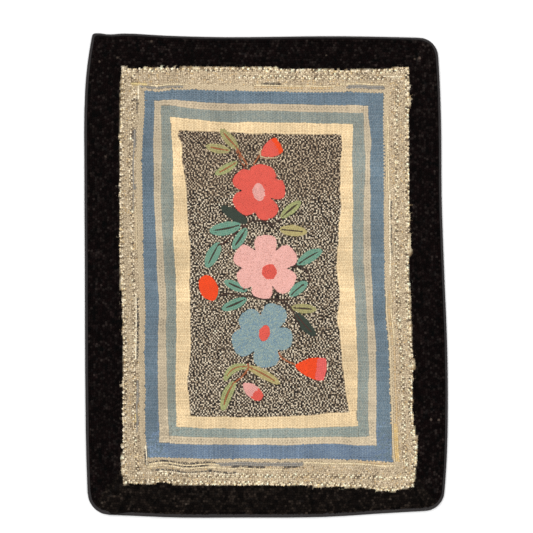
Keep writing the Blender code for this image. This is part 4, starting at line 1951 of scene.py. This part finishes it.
# %% Floor and light
FLOOR_SIZE = 8.0
FLOOR_DROP = 0.0003
DULL_WHITE = (0.93, 0.93, 0.93, 1)
BRIGHT_WHITE = (0.95, 0.95, 0.95, 1)
ROOM_BRIGHTNESS = 0.75


def build_floor():
    """A plain pale floor, just under the rug."""
    bm = bmesh.new()
    bmesh.ops.create_grid(bm, x_segments=1, y_segments=1, size=FLOOR_SIZE / 2)
    bmesh.ops.translate(bm, verts=bm.verts, vec=(0, 0, -FLOOR_DROP))
    mesh = bpy.data.meshes.new("floor")
    bm.to_mesh(mesh)
    bm.free()
    pale = Finish("pale_floor")
    mottle = pale.grain(pale.place(), 3.0, 2.0)
    white = pale.mixed(mottle, DULL_WHITE, BRIGHT_WHITE)
    mesh.materials.append(pale.surface({"Base Color": white, "Roughness": 0.9, "Specular IOR Level": 0.1}))
    return add_object("floor", mesh)


build_floor()

Lamp = namedtuple("Lamp", "name place size power")
LAMPS = (
    Lamp("key", (-1.6, 1.9, 3.4), 2.4, 75.0),
    Lamp("fill", (1.9, -1.6, 3.4), 2.8, 45.0),
)
for lamp in LAMPS:
    light = bpy.data.lights.new(lamp.name, "AREA")
    light.shape = "SQUARE"
    light.size = lamp.size
    light.energy = lamp.power
    made = add_object(lamp.name, light)
    made.location = lamp.place
    made.rotation_mode = "QUATERNION"
    made.rotation_quaternion = (-Vector(lamp.place)).to_track_quat("-Z", "Y")

world = bpy.data.worlds.new("soft_room")
world.use_nodes = True
background = world.node_tree.nodes["Background"].inputs
background["Color"].default_value = (1.0, 1.0, 1.0, 1.0)
background["Strength"].default_value = ROOM_BRIGHTNESS
bpy.context.scene.world = world
bpy.context.scene.view_settings.view_transform = "Standard"

# %% [markdown]
# The camera takes in a square of the same width as the picture that the places were read from. It hangs
# a few metres up, and its lens follows from that height and the width it has to see.

# %% The camera
IMAGE_SIZE = 533
CAMERA_DISTANCE = 3.0
SENSOR = 36.0
FACE_LEVEL = 0.0076

picture_width = IMAGE_SIZE * MM_PER_PIXEL * MM
picture_middle = on_cloth((IMAGE_SIZE / 2, IMAGE_SIZE / 2)) * MM
camera_data = bpy.data.cameras.new("camera")
camera_data.sensor_width = SENSOR
camera_data.lens = SENSOR * CAMERA_DISTANCE / picture_width
camera = add_object("camera", camera_data)
camera.location = (picture_middle.x, picture_middle.y, CAMERA_DISTANCE + FACE_LEVEL)
bpy.context.scene.camera = camera
print("lens", round(camera_data.lens, 1), "mm, at", tuple(round(value, 3) for value in camera.location))
